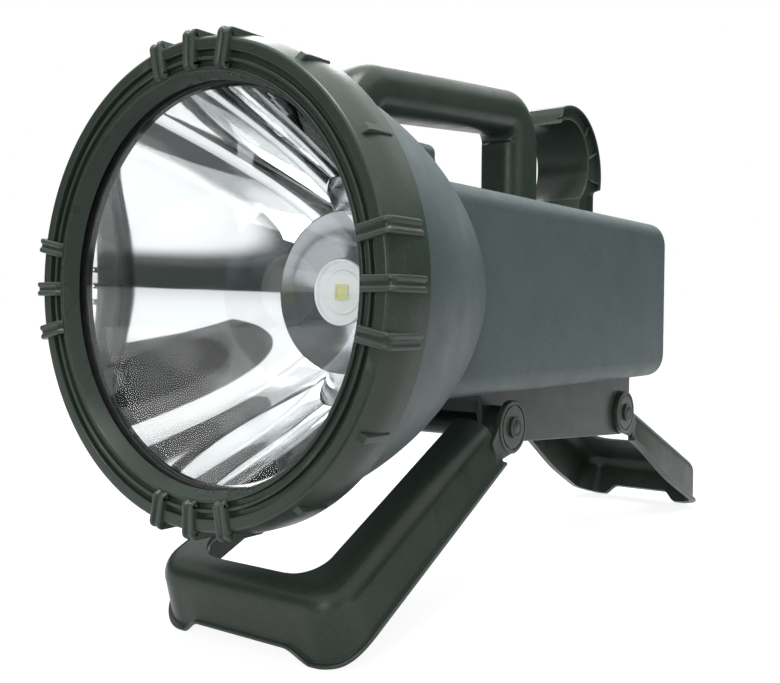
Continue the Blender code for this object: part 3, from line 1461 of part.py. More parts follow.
def make_switch_cable(mat):
    """From the driver board to the underside of the switch."""
    start = board_face() - CABLE_RADIUS
    y = switch_rear() - SWITCH_LENGTH / 2
    low = BUTTON_HEIGHT_ABOVE_AXIS - SWITCH_HALF_HEIGHT
    z = DRIVER_BOTTOM + DRIVER_HEIGHT - CABLE_PITCH
    return cable("switch_cable", [
        (start, DRIVER_FRONT + CABLE_PITCH, z),
        (start - CABLE_PITCH, DRIVER_FRONT - CABLE_SWEEP, z),
        (SWITCH_HALF_WIDTH, y + CABLE_SWEEP, z + CABLE_PITCH),
        (0.0, y, low - CABLE_PITCH),
        (0.0, y, low - CABLE_PITCH / 2),
        (0.0, y, low - GAP * 2),
    ], mat)


def make_battery_cable(mat):
    """From one tab of the battery, past the other, to the driver board."""
    top = battery_base() + BATTERY_HEIGHT + GAP + CABLE_RADIUS
    y = BATTERY_FRONT + TERMINAL_SIZE * 2 - CABLE_RADIUS - GAP
    x = BATTERY_HALF_WIDTH / 2
    z = top + TERMINAL_SIZE / 2
    return cable("battery_cable", [
        (-x, y, z), (0.0, y, z), (x, y, z),
        (x + CABLE_SWEEP / 2, y - CABLE_PITCH / 2, z),
        (board_face() - CABLE_RADIUS, DRIVER_FRONT + CABLE_PITCH * 2, z + CABLE_PITCH),
    ], mat)


def make_socket_cable(mat):
    """From the charging socket's barrel to the driver board."""
    front = BODY_REAR + GAP - SOCKET_DEPTH - GAP
    start = board_face() - CABLE_RADIUS
    z = DRIVER_BOTTOM + CABLE_PITCH
    return cable("socket_cable", [
        (SOCKET_X, front, SOCKET_Z), (SOCKET_X, front - CABLE_PITCH, SOCKET_Z),
        (SOCKET_X, front - CABLE_PITCH * 2, SOCKET_Z),
        (start - CABLE_PITCH, front - CABLE_SWEEP, (SOCKET_Z + z) / 2),
        (start, DRIVER_FRONT + DRIVER_LENGTH - CABLE_PITCH, z),
    ], mat)


def stand_on_floor(pieces):
    """Parents the pieces to beam_frame, with the floor point under their box's middle at zero."""
    reach = [made.location.y + vert.co.y for made in pieces for vert in made.data.vertices]
    frame = bpy.data.objects.new("beam_frame", None)
    frame.location = (0.0, -(min(reach) + max(reach)) / 2, AXIS_HEIGHT)
    bpy.context.scene.collection.objects.link(frame)
    for made in pieces:
        made.parent = frame


def build():
    clear_scene()
    dark = material("black_plastic", (0.045, 0.055, 0.050), 0.5)
    grey = material("grey_plastic", (0.085, 0.105, 0.110), 0.55)
    clear = material("clear_plastic", (0.92, 0.95, 0.96), 0.05, alpha=0.25)
    chrome = material("chromed_bowl", (0.82, 0.83, 0.85), 0.08, 1.0)
    satin = material("satin_metal", (0.20, 0.22, 0.24), 0.35, 0.8)
    white = material("white_plastic", (0.85, 0.86, 0.84), 0.4)
    emitter = material("emitter", (0.80, 0.78, 0.30), 0.3)
    steel = material("steel", (0.55, 0.56, 0.57), 0.35, 1.0)
    rubber = material("rubber", (0.02, 0.02, 0.02), 0.8)
    aluminium = material("aluminium", (0.60, 0.61, 0.62), 0.4, 1.0)
    board = material("circuit_board", (0.03, 0.16, 0.07), 0.5)
    battery = material("battery_case", (0.10, 0.11, 0.13), 0.6)
    wire = material("wire_sleeve", (0.45, 0.05, 0.04), 0.5)
    amber = material("indicator", (0.75, 0.12, 0.05), 0.2)

    pieces = [
        make_bezel(dark), make_lens(clear), make_gasket(rubber), make_reflector(chrome),
        make_dish(satin), make_cup(white), make_led_board(board), make_led_package(emitter),
        make_heat_sink(aluminium), *make_lamp_screws(steel),
        *make_shells(grey), *make_body_screws(steel),
        make_handle(dark), *make_handle_screws(steel), make_hook(dark), *make_hook_screws(steel),
        make_button(dark), make_spring(steel), make_switch(dark),
        make_bracket(dark), *make_bracket_screws(steel),
        make_pin("front_hinge_pin", FRONT_HINGE, FRONT_HINGE_HALF_WIDTH, dark),
        make_pin("rear_hinge_pin", REAR_HINGE, REAR_HINGE_HALF_WIDTH, dark),
        make_washer("front_pin_washer", FRONT_HINGE, FRONT_HINGE_HALF_WIDTH, steel),
        make_washer("rear_pin_washer", REAR_HINGE, REAR_HINGE_HALF_WIDTH, steel),
        make_stand(
            "front_stand", FRONT_HINGE, (FRONT_HINGE_HALF_WIDTH, FRONT_FOOT_HALF_WIDTH), FRONT_FOOT_Y,
            FRONT_TOP, FRONT_BAR_BAND,
            (FRONT_ARM_DROP, FRONT_BELLY_DROP, FRONT_FOOT_DROP, FRONT_MIDDLE_DROP), dark,
        ),
        make_stand(
            "rear_stand", REAR_HINGE, (REAR_HINGE_HALF_WIDTH, REAR_FOOT_HALF_WIDTH), REAR_FOOT_Y,
            REAR_TOP, REAR_BAR_BAND,
            (REAR_ARM_DROP, REAR_BELLY_DROP, REAR_FOOT_DROP, REAR_MIDDLE_DROP), dark,
        ),
        make_pad(rubber), make_battery(battery), make_strap(steel), *make_strap_screws(steel),
        make_driver(board), *make_board_screws(steel),
        make_socket(dark), make_cap(rubber), make_cap_pin(steel), make_light(amber),
        make_lamp_cable(wire), make_switch_cable(wire), make_battery_cable(wire),
        make_socket_cable(wire),
    ]
    stand_on_floor(pieces)


build()
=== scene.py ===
"""Looks of the hand-held searchlight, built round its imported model.

Pieces that need a finer surface than the model's are turned, swept or joined here in the
beam frame: Y runs back along the beam, Z is up, and zero is on the beam axis in the plane
of the front ring's inner lip. PLACE then moves them to where the model stands.
"""

from math import acos, asin, atan, atan2, copysign, cos, hypot, pi, radians, sin, sqrt, tan, tau

import bmesh
import bpy
from mathutils import Matrix, Vector


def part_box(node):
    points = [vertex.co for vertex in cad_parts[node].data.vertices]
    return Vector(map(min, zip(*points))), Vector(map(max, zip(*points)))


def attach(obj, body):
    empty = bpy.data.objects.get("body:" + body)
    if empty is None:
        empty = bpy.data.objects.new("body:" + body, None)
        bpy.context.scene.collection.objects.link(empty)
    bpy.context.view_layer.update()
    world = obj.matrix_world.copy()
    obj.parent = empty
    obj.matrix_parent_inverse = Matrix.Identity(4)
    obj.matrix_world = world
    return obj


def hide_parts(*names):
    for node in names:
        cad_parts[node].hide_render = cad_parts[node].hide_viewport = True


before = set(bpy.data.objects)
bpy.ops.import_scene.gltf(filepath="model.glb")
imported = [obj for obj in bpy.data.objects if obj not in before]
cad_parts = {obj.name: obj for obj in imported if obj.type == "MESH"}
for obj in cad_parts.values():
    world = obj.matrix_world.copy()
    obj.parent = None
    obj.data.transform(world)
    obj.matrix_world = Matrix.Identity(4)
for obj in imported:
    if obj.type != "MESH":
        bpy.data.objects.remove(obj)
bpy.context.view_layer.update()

# Sizes shared by many pieces, in metres
GAP = 0.0003
OVERRUN = 0.0040
WELD = 0.000005
FINE_STEPS = 192
ROUND_STEPS = 64
SMALL_STEPS = 32
SMOOTH_ANGLE = radians(32.0)
FLAT_FACE_WEIGHT = 95
FILLET = 0.0005
CORNER_SHARE = 0.45
NEARLY_STRAIGHT = pi * 0.47

# Places read from the model
LENS_FRONT = 0.0073
LENS_LOW, LENS_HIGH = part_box("lens")
PLACE = Matrix.Translation((0.0, LENS_LOW.y - LENS_FRONT, (LENS_LOW.z + LENS_HIGH.z) / 2))
AXIS_HEIGHT = PLACE.translation.z

# Front ring
RING_RADIUS = 0.0953
RING_SKIRT = 0.0200
RING_SHOULDER = 0.0100
RING_FACE_RADIUS = 0.0922
RING_NOSE = 0.0010
RING_EDGE = 0.0015
RING_BEND = 0.0300
RING_BACK_EDGE = 0.0004
LIP_RADIUS = 0.0800
LIP = 0.0015
GROOVE_WIDTH = 0.0024
GROOVE_DEPTH = 0.0018
GROOVE_EDGE = 0.0006
RIDGE = 0.0013
SEAT_RADIUS = 0.0777
SEAT_DEPTH = 0.0070
SEAT_EDGE = 0.0003
RIM_RADIUS = 0.0884
RIB_HEIGHT = 0.0015
RIB_WIDTH = 0.0058
RIB_WALL = 0.0052
RIB_GROOVE = 0.0007
RIB_END = 0.0026
RIB_CORNER = 0.0030
RIB_SPACING = radians(11.5)
SHORT_RIB_WIDTH = 0.0032
SHORT_RIB_START = 0.0020
SHORT_RIB_ANGLES = (radians(33.0), radians(57.0))

# Lens, reflector and lamp
LENS_RADIUS = 0.0840
LENS_THICKNESS = 0.0030
LENS_EDGE = 0.0006
FLANGE_FRONT = 0.0125
FLANGE = 0.0016
FOCUS = 0.0147
BOWL_WALL = 0.0016
DISH_RADIUS = 0.0368
DISH_DEPTH = 0.0890
COLLAR_LENGTH = 0.0070
COLLAR_RADIUS = 0.0450
DISH_THICKNESS = 0.0020
DISH_RISE = 0.0012
CUP_RADIUS = 0.0150
CUP_WALL = 0.0012
CUP_DEPTH = 0.0026
CUP_PROUD = 0.0012
CUP_CORNER = 0.0014
BOARD_RADIUS = 0.0100
BOARD_THICKNESS = 0.0014
BOARD_EDGE = 0.0002
PACKAGE_SIZE = 0.0070
PACKAGE_THICKNESS = 0.0012
PACKAGE_EDGE = 0.0003
POCKET_SHARE = 0.66
POCKET_DEPTH = 0.0004
DIE_SHARE = 0.52
DIE_SUNK = 0.00012
DIE_EDGE = 0.0001

# Housing
BELL_RADIUS = 0.0896
BELL_REACH = 0.1746
BELL_CURVE_SHARE = 1.82
BELL_LENGTH = 0.1220
BELL_FRONT = RING_SKIRT + GAP
BELL_EDGE = 0.0006
WALL = 0.0025
LEDGE_RADIUS = 0.0798
BODY_HALF_WIDTH = 0.0600
BODY_TOP = 0.0469
BODY_BOTTOM = -0.0458
BODY_FRONT = 0.0800
BODY_REAR = 0.3360
BODY_EDGE = 0.0095
BODY_END_EDGE = 0.0140
BOSS_HALF_WIDTH = 0.0200
BOSS_TOP = 0.0710
BOSS_FRONT = 0.0780
BOSS_REAR = 0.1370
BOSS_EDGE = 0.0040
BOSS_FLOOR = 0.0400
# (y, z) of the posts that the shells' screws go through
POST_PLACES = (
    (0.1500, 0.0360), (0.2350, 0.0360), (0.3200, 0.0360), (0.1500, -0.0360), (0.3200, -0.0360),
)
POST_RADIUS = 0.0050
POST_HEAD_FROM_SPLIT = 0.0120
SCREW_RADIUS = 0.0015
SCREW_HEAD_RADIUS = 0.0030
REAR_HOLE_RADII = {"charge_socket": 0.0058, "charge_light": 0.0028}

# Handle
HANDLE_HALF_WIDTH = 0.0140
HANDLE_HALF_THICKNESS = 0.0121
HANDLE_POST_HALF_DEPTH = 0.0160
HANDLE_ROUND_SHARE = 2.7
HANDLE_FRONT_POST = 0.0890
HANDLE_FRONT_TOP = 0.0915
HANDLE_REAR_POST = 0.2410
HANDLE_REAR_TOP = 0.1052
HANDLE_FRONT_BEND = 0.0180
HANDLE_REAR_BEND = 0.0170
HANDLE_LEVEL_SHARE = 0.88
HANDLE_STEPS = 8
HANDLE_BEND_STEPS = 20

# Cord hook
HOOK_HALF_WIDTH = 0.0175
HOOK_INNER_Y = 0.2845
HOOK_INNER_Z = 0.0830
HOOK_INNER_RADIUS = 0.0245
HOOK_OUTER_Y = 0.2900
HOOK_OUTER_Z = 0.0780
HOOK_OUTER_RADIUS = 0.0388
HOOK_NECK_Y = 0.3173
HOOK_TIP_ANGLE = radians(122.0)
HOOK_TIP_CUT = radians(8.0)
HOOK_TIP_TURN = 20.0
HOOK_STEPS = 40
HOOK_FOOT_Y = 0.2960
HOOK_EDGE = 0.0010
HOOK_NOTCH = 0.0034
HOOK_RIM = 0.0016
HOOK_RECESS = 0.0030
HOOK_WEB = 0.0012
HOOK_WEB_EDGE = 0.0002
HOOK_WEB_ANGLES = (radians(-6.0), radians(24.0), radians(54.0))

# Button
BUTTON_HALF_WIDTH = 0.0150
BUTTON_HALF_HEIGHT = 0.0070
BUTTON_HEIGHT = 0.0590
BUTTON_PROUD = 0.0070
BUTTON_SUNK = 0.0040
BUTTON_EDGE = 0.0016
BUTTON_RIDGES = 5
BUTTON_RIDGE = 0.0014
BUTTON_RIDGE_HEIGHT = 0.0006
BUTTON_RIDGE_ROOT = 0.0010
BUTTON_RIDGE_SHARE = 0.7
BUTTON_RIDGE_SPREAD = 1.5

# Stand
FRONT_HINGE = (0.1640, -0.0640)
REAR_HINGE = (0.3210, -0.0690)
BRACKET_HALF_WIDTH = 0.0360
BRACKET_FRONT_NOSE = 0.0090
BRACKET_REAR_NOSE = 0.0140
BRACKET_WALL = 0.0030
BRACKET_EDGE = 0.0009
PIN_RADIUS = 0.0030
PIN_TUBE_RADIUS = 0.0062
PIN_HEAD_RADIUS = 0.0052
PIN_HEAD = 0.0018
# Shares of a pin head's radius and height
PIN_RIM = ((1.0, 0.0), (1.0, 0.6), (0.92, 0.8), (0.80, 0.8), (0.70, 0.45))
PIN_DOME = (0.62, 0.55)
PIN_DOME_STEPS = 8
HINGE_BOSS_RADIUS = 0.0100
EAR_RADIUS = 0.0130
EAR_PROUD = 0.0006
EAR_EDGE = 0.0003
EAR_GROOVE = 0.0112
EAR_GROOVE_SHARE = 0.92
STAND_WALL = 0.0025
STAND_DRAFT = 0.0025
STAND_LIP = 0.0020
STAND_LIP_THICKNESS = 0.0018
STAND_EDGE = 0.0105
STAND_CORNER = 0.0180
STAND_CLEAR = 0.0160
ARM_BAND = 0.0210
WINDOW_CORNER = 0.0130
FOOT_FLAT = 0.0006
FRONT_HALF_WIDTHS = (0.0470, 0.0550)
FRONT_FOOT_Y = 0.0280
FRONT_BAR_BAND = 0.0160
FRONT_TOP = 0.0130
# How far the lower edge drops at a leg's root, belly, foot corner and middle
FRONT_DROPS = (0.0115, 0.0115, 0.0160, 0.0095)
REAR_HALF_WIDTHS = (0.0390, 0.0465)
REAR_FOOT_Y = 0.4450
REAR_BAR_BAND = 0.0500
REAR_TOP = 0.0110
REAR_DROPS = (0.0130, 0.0190, 0.0180, 0.0110)

# Camera, in the beam frame
CAMERA_PLACE = (0.2774, -0.2520, -0.0106)
CAMERA_AIM = (-0.5907, 0.8063, -0.0300)
CAMERA_ROLL = radians(0.44)
IMAGE_WIDTH = 780.0
FOCAL_PIXELS = 973.84
SENSOR = 36.0
SHIFT_X_PIXELS = 0.06
SHIFT_Y_PIXELS = 3.99

# Stage
FLOOR_HALF = 8.0
FLOOR_DROP = 0.0002
FLOOR_SEEN = 0.88
FLOOR_MIRRORED = 0.78
FLAG_REACH = (0.090, 0.430)
FLAG_FROM = radians(-14.0)
FLAG_TO = radians(66.0)
FLAG_STEPS = 8
# Axis or direction, where it starts, where it is full, and a glow's level
ROOM_BANDS = (("Z", 0.34, 0.50), ("X", 0.90, 0.97))
ROOM_GLOWS = (((0.50, -0.86, 0.09), 0.955, 0.99, 0.5), ((-0.30, 0.95, 0.08), 0.93, 0.98, 1.0))
# Colour and strength
ROOM_WHITE = ((1.0, 1.0, 1.0), 1.4)
ROOM_FELT = ((0.050, 0.058, 0.056), 1.0)
ROOM_LIGHT = ((0.60, 0.62, 0.64), 0.60)
# Name, place, aim, width, height and watts
SOFTBOXES = (
    ("key", (0.25, -0.3, 1.5), (0.0, 0.0, 0.1), 0.8, 0.5, 21.0),
    ("rim", (-0.9, 0.9, 1.2), (0.0, 0.0, 0.1), 0.8, 0.8, 7.0),
    ("front", (0.5, -1.5, 0.35), (0.0, -0.2, 0.145), 0.5, 0.5, 5.0),
)

# Texture sizes, in metres
BLOTCH = 0.035
SMUDGE = 0.012
GRAIN = 0.0007
GRAIN_DEPTH = 0.00005


# Mesh helpers

def linked(name, data):
    """A new object in the scene."""
    obj = bpy.data.objects.new(name, data)
    bpy.context.scene.collection.objects.link(obj)
    return obj


def fill(mesh, bm):
    """Writes a bmesh into a mesh, smooth but for its sharp edges."""
    bm.to_mesh(mesh)
    bm.free()
    mesh.shade_smooth()
    mesh.set_sharp_from_angle(angle=SMOOTH_ANGLE)


def piece(name, bm, mat):
    """An object from a bmesh, with its faces turned out."""
    bmesh.ops.recalc_face_normals(bm, faces=bm.faces)
    mesh = bpy.data.meshes.new(name)
    fill(mesh, bm)
    if mat:
        mesh.materials.append(mat)
    return linked(name, mesh)


def applied(obj):
    """The object's mesh with its modifiers applied. The modifiers are then removed."""
    bpy.context.view_layer.update()
    graph = bpy.context.evaluated_depsgraph_get()
    mesh = bpy.data.meshes.new_from_object(obj.evaluated_get(graph))
    obj.modifiers.clear()
    return mesh


def even_normals(obj):
    """Keeps broad faces flat and leaves the bending of light to the small rounded edges."""
    modifier = obj.modifiers.new("even", "WEIGHTED_NORMAL")
    modifier.keep_sharp = True
    modifier.weight = FLAT_FACE_WEIGHT
    obj.data = applied(obj)


def show(obj, body, slot, *nodes):
    """Moves a finished piece to the model's place, to ride on a body and stand for nodes."""
    even_normals(obj)
    obj.data.transform(PLACE)
    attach(obj, body)
    if nodes:
        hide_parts(*nodes)


def boolean(target, tools, operation):
    """Applies one exact Boolean with all the tools, and removes them."""
    group = bpy.data.collections.new("tools")
    bpy.context.scene.collection.children.link(group)
    for tool in tools:
        group.objects.link(tool)
    modifier = target.modifiers.new(operation, "BOOLEAN")
    modifier.operation = operation
    modifier.solver = "EXACT"
    modifier.operand_type = "COLLECTION"
    modifier.collection = group
    mesh = applied(target)
    bpy.data.collections.remove(group)
    for tool in tools:
        bpy.data.objects.remove(tool)
    bm = bmesh.new()
    bm.from_mesh(mesh)
    bmesh.ops.remove_doubles(bm, verts=bm.verts, dist=WELD)
    bmesh.ops.dissolve_degenerate(bm, edges=bm.edges, dist=WELD)
    fill(mesh, bm)
    target.data = mesh
    return target


def cut(target, *tools):
    return boolean(target, tools, "DIFFERENCE")


def join(target, *tools):
    return boolean(target, tools, "UNION")


def merged(name, parts, mat):
    """One object of several closed meshes that overlap."""
    bm = bmesh.new()
    for part in parts:
        bm.from_mesh(part.data)
        bpy.data.objects.remove(part)
    return piece(name, bm, mat)


def spread(start, length, count):
    """Even steps from start on, over a length."""
    return [start + length * i / count for i in range(count + 1)]


def arc(centre, radius, start, end, count):
    """Points on an arc, from one angle to the other."""
    angles = spread(start, end - start, count)
    return [(centre[0] + radius * cos(a), centre[1] + radius * sin(a)) for a in angles]


def bend(here, back, ahead, reach, steps):
    """Points that round the corner at here, from reach before it to reach behind it."""
    middle = here + (back + ahead).normalized() * (reach / cos(back.angle(ahead) / 2))
    first = here + back * reach - middle
    sweep = first.angle_signed(here + ahead * reach - middle)
    return [middle + Matrix.Rotation(-sweep * i / steps, 2) @ first for i in range(steps + 1)]


def rounded(outline, radius=FILLET, steps=3):
    """The closed outline with rounded corners. A third value is a corner's own radius."""
    made = []
    count = len(outline)
    for i, point in enumerate(outline):
        own = point[2] if len(point) > 2 else radius
        here = Vector(point[:2])
        back = Vector(outline[i - 1][:2]) - here
        ahead = Vector(outline[(i + 1) % count][:2]) - here
        half_turn = back.angle(ahead) / 2
        if own <= 0.0 or half_turn > NEARLY_STRAIGHT:
            made.append(here)
        else:
            room = min(back.length, ahead.length) * CORNER_SHARE
            reach = min(own / tan(half_turn), room)
            made += bend(here, back.normalized(), ahead.normalized(), reach, steps)
    return made


def swept(name, rings, mat=None):
    """Joins rings of as many points each into one closed solid with flat ends."""
    bm = bmesh.new()
    loops = [[bm.verts.new(spot) for spot in ring] for ring in rings]
    for one, two in zip(loops, loops[1:]):
        for i in range(len(one)):
            bm.faces.new((one[i - 1], one[i], two[i], two[i - 1]))
    bm.faces.new(loops[0])
    bm.faces.new(loops[-1])
    return piece(name, bm, mat)


def lathe(name, profile, mat=None, steps=FINE_STEPS):
    """Turns a closed outline of (radius, y) points round the Y axis."""
    bm = bmesh.new()
    angles = [tau * i / steps for i in range(steps)]
    rings = []
    for radius, y in profile:
        turns = angles if radius else angles[:1]
        rings.append([bm.verts.new((radius * cos(a), y, radius * sin(a))) for a in turns])
    for one, two in zip(rings, rings[1:] + rings[:1]):
        if len(one) + len(two) == 2:
            continue
        for i in range(steps):
            after = (i + 1) % steps
            loop = [one[i % len(one)], one[after % len(one)], two[after % len(two)], two[i % len(two)]]
            bm.faces.new(list(dict.fromkeys(loop)))
    return piece(name, bm, mat)


def prism(name, outline, low, high, mat=None, edge=0.0, axis=0):
    """Extrudes an outline along an axis, with its rims rounded if edge is given."""
    bm = bmesh.new()
    verts = []
    for a, b in outline:
        spot = [a, b]
        spot.insert(axis, low)
        verts.append(bm.verts.new(spot))
    face = bm.faces.new(verts)
    step = [0.0, 0.0, 0.0]
    step[axis] = high - low
    made = bmesh.ops.extrude_face_region(bm, geom=[face])
    top = [item for item in made["geom"] if isinstance(item, bmesh.types.BMVert)]
    bmesh.ops.translate(bm, verts=top, vec=step)
    if edge:
        rims = [e for e in bm.edges if abs(e.verts[0].co[axis] - e.verts[1].co[axis]) < WELD]
        bmesh.ops.bevel(bm, geom=rims, offset=edge, segments=3, profile=0.5, affect="EDGES")
    return piece(name, bm, mat)


def box(name, low, high, mat=None, edge=0.0, segments=4):
    """A box between two corners, with all its edges rounded if edge is given."""
    bm = bmesh.new()
    bmesh.ops.create_cube(bm, size=1.0)
    size = [b - a for a, b in zip(low, high)]
    middle = [(a + b) / 2 for a, b in zip(low, high)]
    bmesh.ops.scale(bm, vec=size, verts=bm.verts)
    bmesh.ops.translate(bm, vec=middle, verts=bm.verts)
    if edge:
        bmesh.ops.bevel(bm, geom=bm.edges[:], offset=edge, segments=segments, profile=0.5, affect="EDGES")
    return piece(name, bm, mat)


def rod(name, radius, low, high, centre=(0.0, 0.0), steps=SMALL_STEPS, edge=0.0, axis=0):
    """A cylinder along an axis, from low to high, centred at the other two places."""
    outline = arc(centre, radius, 0.0, tau, steps)[:-1]
    return prism(name, outline, low, high, edge=edge, axis=axis)


# Materials

class Tree:
    """A node tree with short builders for its nodes."""

    def __init__(self, owner):
        owner.use_nodes = True
        self.nodes = owner.node_tree.nodes
        self.link = owner.node_tree.links.new

    def node(self, kind, inputs=None, **settings):
        """The outputs of a new node, with each input set to a value or linked to a socket."""
        made = self.nodes.new("ShaderNode" + kind)
        for key, value in settings.items():
            setattr(made, key, value)
        for key, value in (inputs or {}).items():
            if isinstance(value, bpy.types.NodeSocket):
                self.link(value, made.inputs[key])
            else:
                made.inputs[key].default_value = value
        return made.outputs

    def mapped(self, source, low, high, start=0.3, end=0.7, kind="LINEAR"):
        """Maps a value that goes from start to end, so that it goes from low to high."""
        values = {"Value": source, "From Min": start, "From Max": end, "To Min": low, "To Max": high}
        return self.node("MapRange", values, interpolation_type=kind)["Result"]

    def either(self, factor, first, second):
        """The first shader where factor is 0, the second where it is 1."""
        return self.node("MixShader", {"Fac": factor, 1: first, 2: second})["Shader"]


class Finish(Tree):
    """A material with a Principled shader and builders for its textures."""

    def __init__(self, name, **values):
        self.mat = bpy.data.materials.new(name)
        super().__init__(self.mat)
        self.shader = self.nodes["Principled BSDF"]
        for key, value in values.items():
            self.shader.inputs[key.replace("_", " ")].default_value = value
        self.place = self.node("TexCoord")["Object"]

    def noise(self, size, detail=3.0):
        """Noise whose blobs are about size metres across."""
        return self.node("TexNoise", {"Scale": 1.0 / size, "Detail": detail, "Vector": self.place})["Fac"]

    def blended(self, factor, first, second):
        """Mixes two colours, each a tuple or a socket."""
        colours = [(*c, 1.0) if isinstance(c, tuple) else c for c in (first, second)]
        return self.node("Mix", {"Factor": factor, 6: colours[0], 7: colours[1]}, data_type="RGBA")[2]

    def colour(self, factor, first, second):
        self.set("Base Color", self.blended(factor, first, second))

    def bump(self, source, depth, strength=1.0):
        """Adds a bump of the given depth in metres."""
        values = {"Distance": depth, "Strength": strength, "Height": source}
        self.set("Normal", self.node("Bump", values)["Normal"])

    def set(self, key, source):
        self.link(source, self.shader.inputs[key])


def moulded(name, deep, plain, worn, roughness, grain=GRAIN, depth=GRAIN_DEPTH, rub=0.55):
    """Moulded plastic: blotches of two tones, lighter rubbed edges and a fine grain."""
    f = Finish(name, Specular_IOR_Level=0.27)
    tone = f.blended(f.mapped(f.noise(BLOTCH), 0.0, 1.0), deep, plain)
    speck = f.mapped(f.noise(grain * 1.6, 2.0), 0.0, 0.35, 0.55, 0.8)
    tone = f.blended(speck, tone, worn)
    rubbed = f.mapped(f.node("NewGeometry")["Pointiness"], 0.0, rub, 0.515, 0.56)
    f.colour(rubbed, tone, worn)
    f.set("Roughness", f.mapped(f.noise(SMUDGE), roughness - 0.05, roughness + 0.06))
    f.bump(f.noise(grain, 2.0), depth)
    return f.mat


def rubber(name):
    f = Finish(name, Specular_IOR_Level=0.3)
    f.colour(f.noise(0.004), (0.016, 0.016, 0.017), (0.035, 0.035, 0.037))
    f.set("Roughness", f.mapped(f.noise(0.006), 0.68, 0.85))
    f.bump(f.noise(0.0006), 0.00004)
    return f.mat


def metal(name, first, second, low, high, size=0.004):
    """Bare metal with two tones and fine marks."""
    f = Finish(name, Metallic=1.0)
    marks = f.noise(size, 4.0)
    f.colour(marks, first, second)
    f.set("Roughness", f.mapped(marks, low, high))
    f.bump(marks, 0.00001, 0.4)
    return f.mat


def painted(name, first, second, roughness, metallic=0.0, size=0.006):
    f = Finish(name, Metallic=metallic)
    f.colour(f.noise(size), first, second)
    f.set("Roughness", f.mapped(f.noise(size * 1.7), roughness - 0.04, roughness + 0.05))
    f.bump(f.noise(0.0009), 0.00002)
    return f.mat


def chrome(name):
    """Vacuum-plated bowl: a mirror with a faint waviness and dust."""
    f = Finish(name, Metallic=1.0)
    dust = f.mapped(f.noise(0.0016, 4.0), 0.0, 0.10, 0.62, 0.80)
    f.colour(dust, (0.90, 0.915, 0.92), (0.62, 0.63, 0.63))
    f.set("Roughness", f.mapped(f.noise(0.02), 0.015, 0.05))
    f.bump(f.noise(0.022, 1.0), 0.00003, 0.6)
    return f.mat


def clear(name):
    """Clear plastic: the lamps' light and most other rays go straight through it."""
    f = Finish(name, Roughness=0.0, IOR=1.45, Transmission_Weight=1.0, Specular_IOR_Level=0.2)
    f.colour(f.noise(0.03), (0.985, 0.995, 0.99), (0.97, 0.985, 0.985))
    straight = f.mapped(f.node("LightPath")["Is Shadow Ray"], 0.92, 1.0, 0.0, 1.0)
    surface = f.either(straight, f.shader.outputs["BSDF"], f.node("BsdfTransparent")["BSDF"])
    f.link(surface, f.nodes["Material Output"].inputs["Surface"])
    return f.mat


def circuit(name):
    """Green board with paler tracks and pads."""
    f = Finish(name, Roughness=0.35)
    cells = f.node("TexVoronoi", {"Scale": 1.0 / 0.0022, "Vector": f.place})["Distance"]
    tracks = f.mapped(cells, 0.0, 1.0, 0.30, 0.34)
    tone = f.blended(f.noise(0.01), (0.015, 0.105, 0.045), (0.02, 0.14, 0.06))
    f.colour(tracks, tone, (0.05, 0.26, 0.12))
    f.bump(tracks, 0.00003)
    return f.mat


DARK = moulded("dark_plastic", (0.028, 0.040, 0.031), (0.036, 0.049, 0.039), (0.085, 0.105, 0.090), 0.31)
HOUSING = moulded(
    "housing_plastic", (0.070, 0.096, 0.098), (0.084, 0.112, 0.114), (0.16, 0.19, 0.19), 0.44,
    grain=0.0009, depth=0.00007, rub=0.0,
)
BUTTON = moulded("button_plastic", (0.022, 0.028, 0.026), (0.030, 0.037, 0.034), (0.07, 0.08, 0.078), 0.48)
BLACK = moulded("black_plastic", (0.020, 0.022, 0.023), (0.028, 0.030, 0.031), (0.06, 0.06, 0.06), 0.45)
CASE = moulded("battery_case", (0.045, 0.050, 0.060), (0.060, 0.066, 0.078), (0.11, 0.12, 0.13), 0.50)
RUBBER = rubber("black_rubber")
SHEATH = rubber("cable_sheath")
STEEL = metal("screw_steel", (0.50, 0.51, 0.52), (0.66, 0.67, 0.68), 0.22, 0.38)
SPRING = metal("spring_steel", (0.52, 0.52, 0.53), (0.70, 0.70, 0.70), 0.20, 0.34)
DARK_STEEL = painted("dark_steel", (0.030, 0.040, 0.034), (0.042, 0.052, 0.046), 0.42, 0.2)
CAST = metal("cast_aluminium", (0.50, 0.51, 0.52), (0.64, 0.65, 0.66), 0.38, 0.55, size=0.0015)
DISH = metal("grey_metal", (0.42, 0.46, 0.48), (0.50, 0.54, 0.56), 0.12, 0.18, size=0.030)
WHITE = painted("white_plastic", (0.91, 0.95, 0.945), (0.94, 0.975, 0.97), 0.35)
CHROME = chrome("chromed_plastic")
CLEAR = clear("clear_lens")
GREEN = circuit("board")
EMITTER = painted("emitter", (0.72, 0.74, 0.32), (0.82, 0.82, 0.44), 0.32, size=0.0008)
LIGHT_PIPE = painted("light_pipe", (0.42, 0.025, 0.02), (0.52, 0.04, 0.03), 0.18)


# Front ring

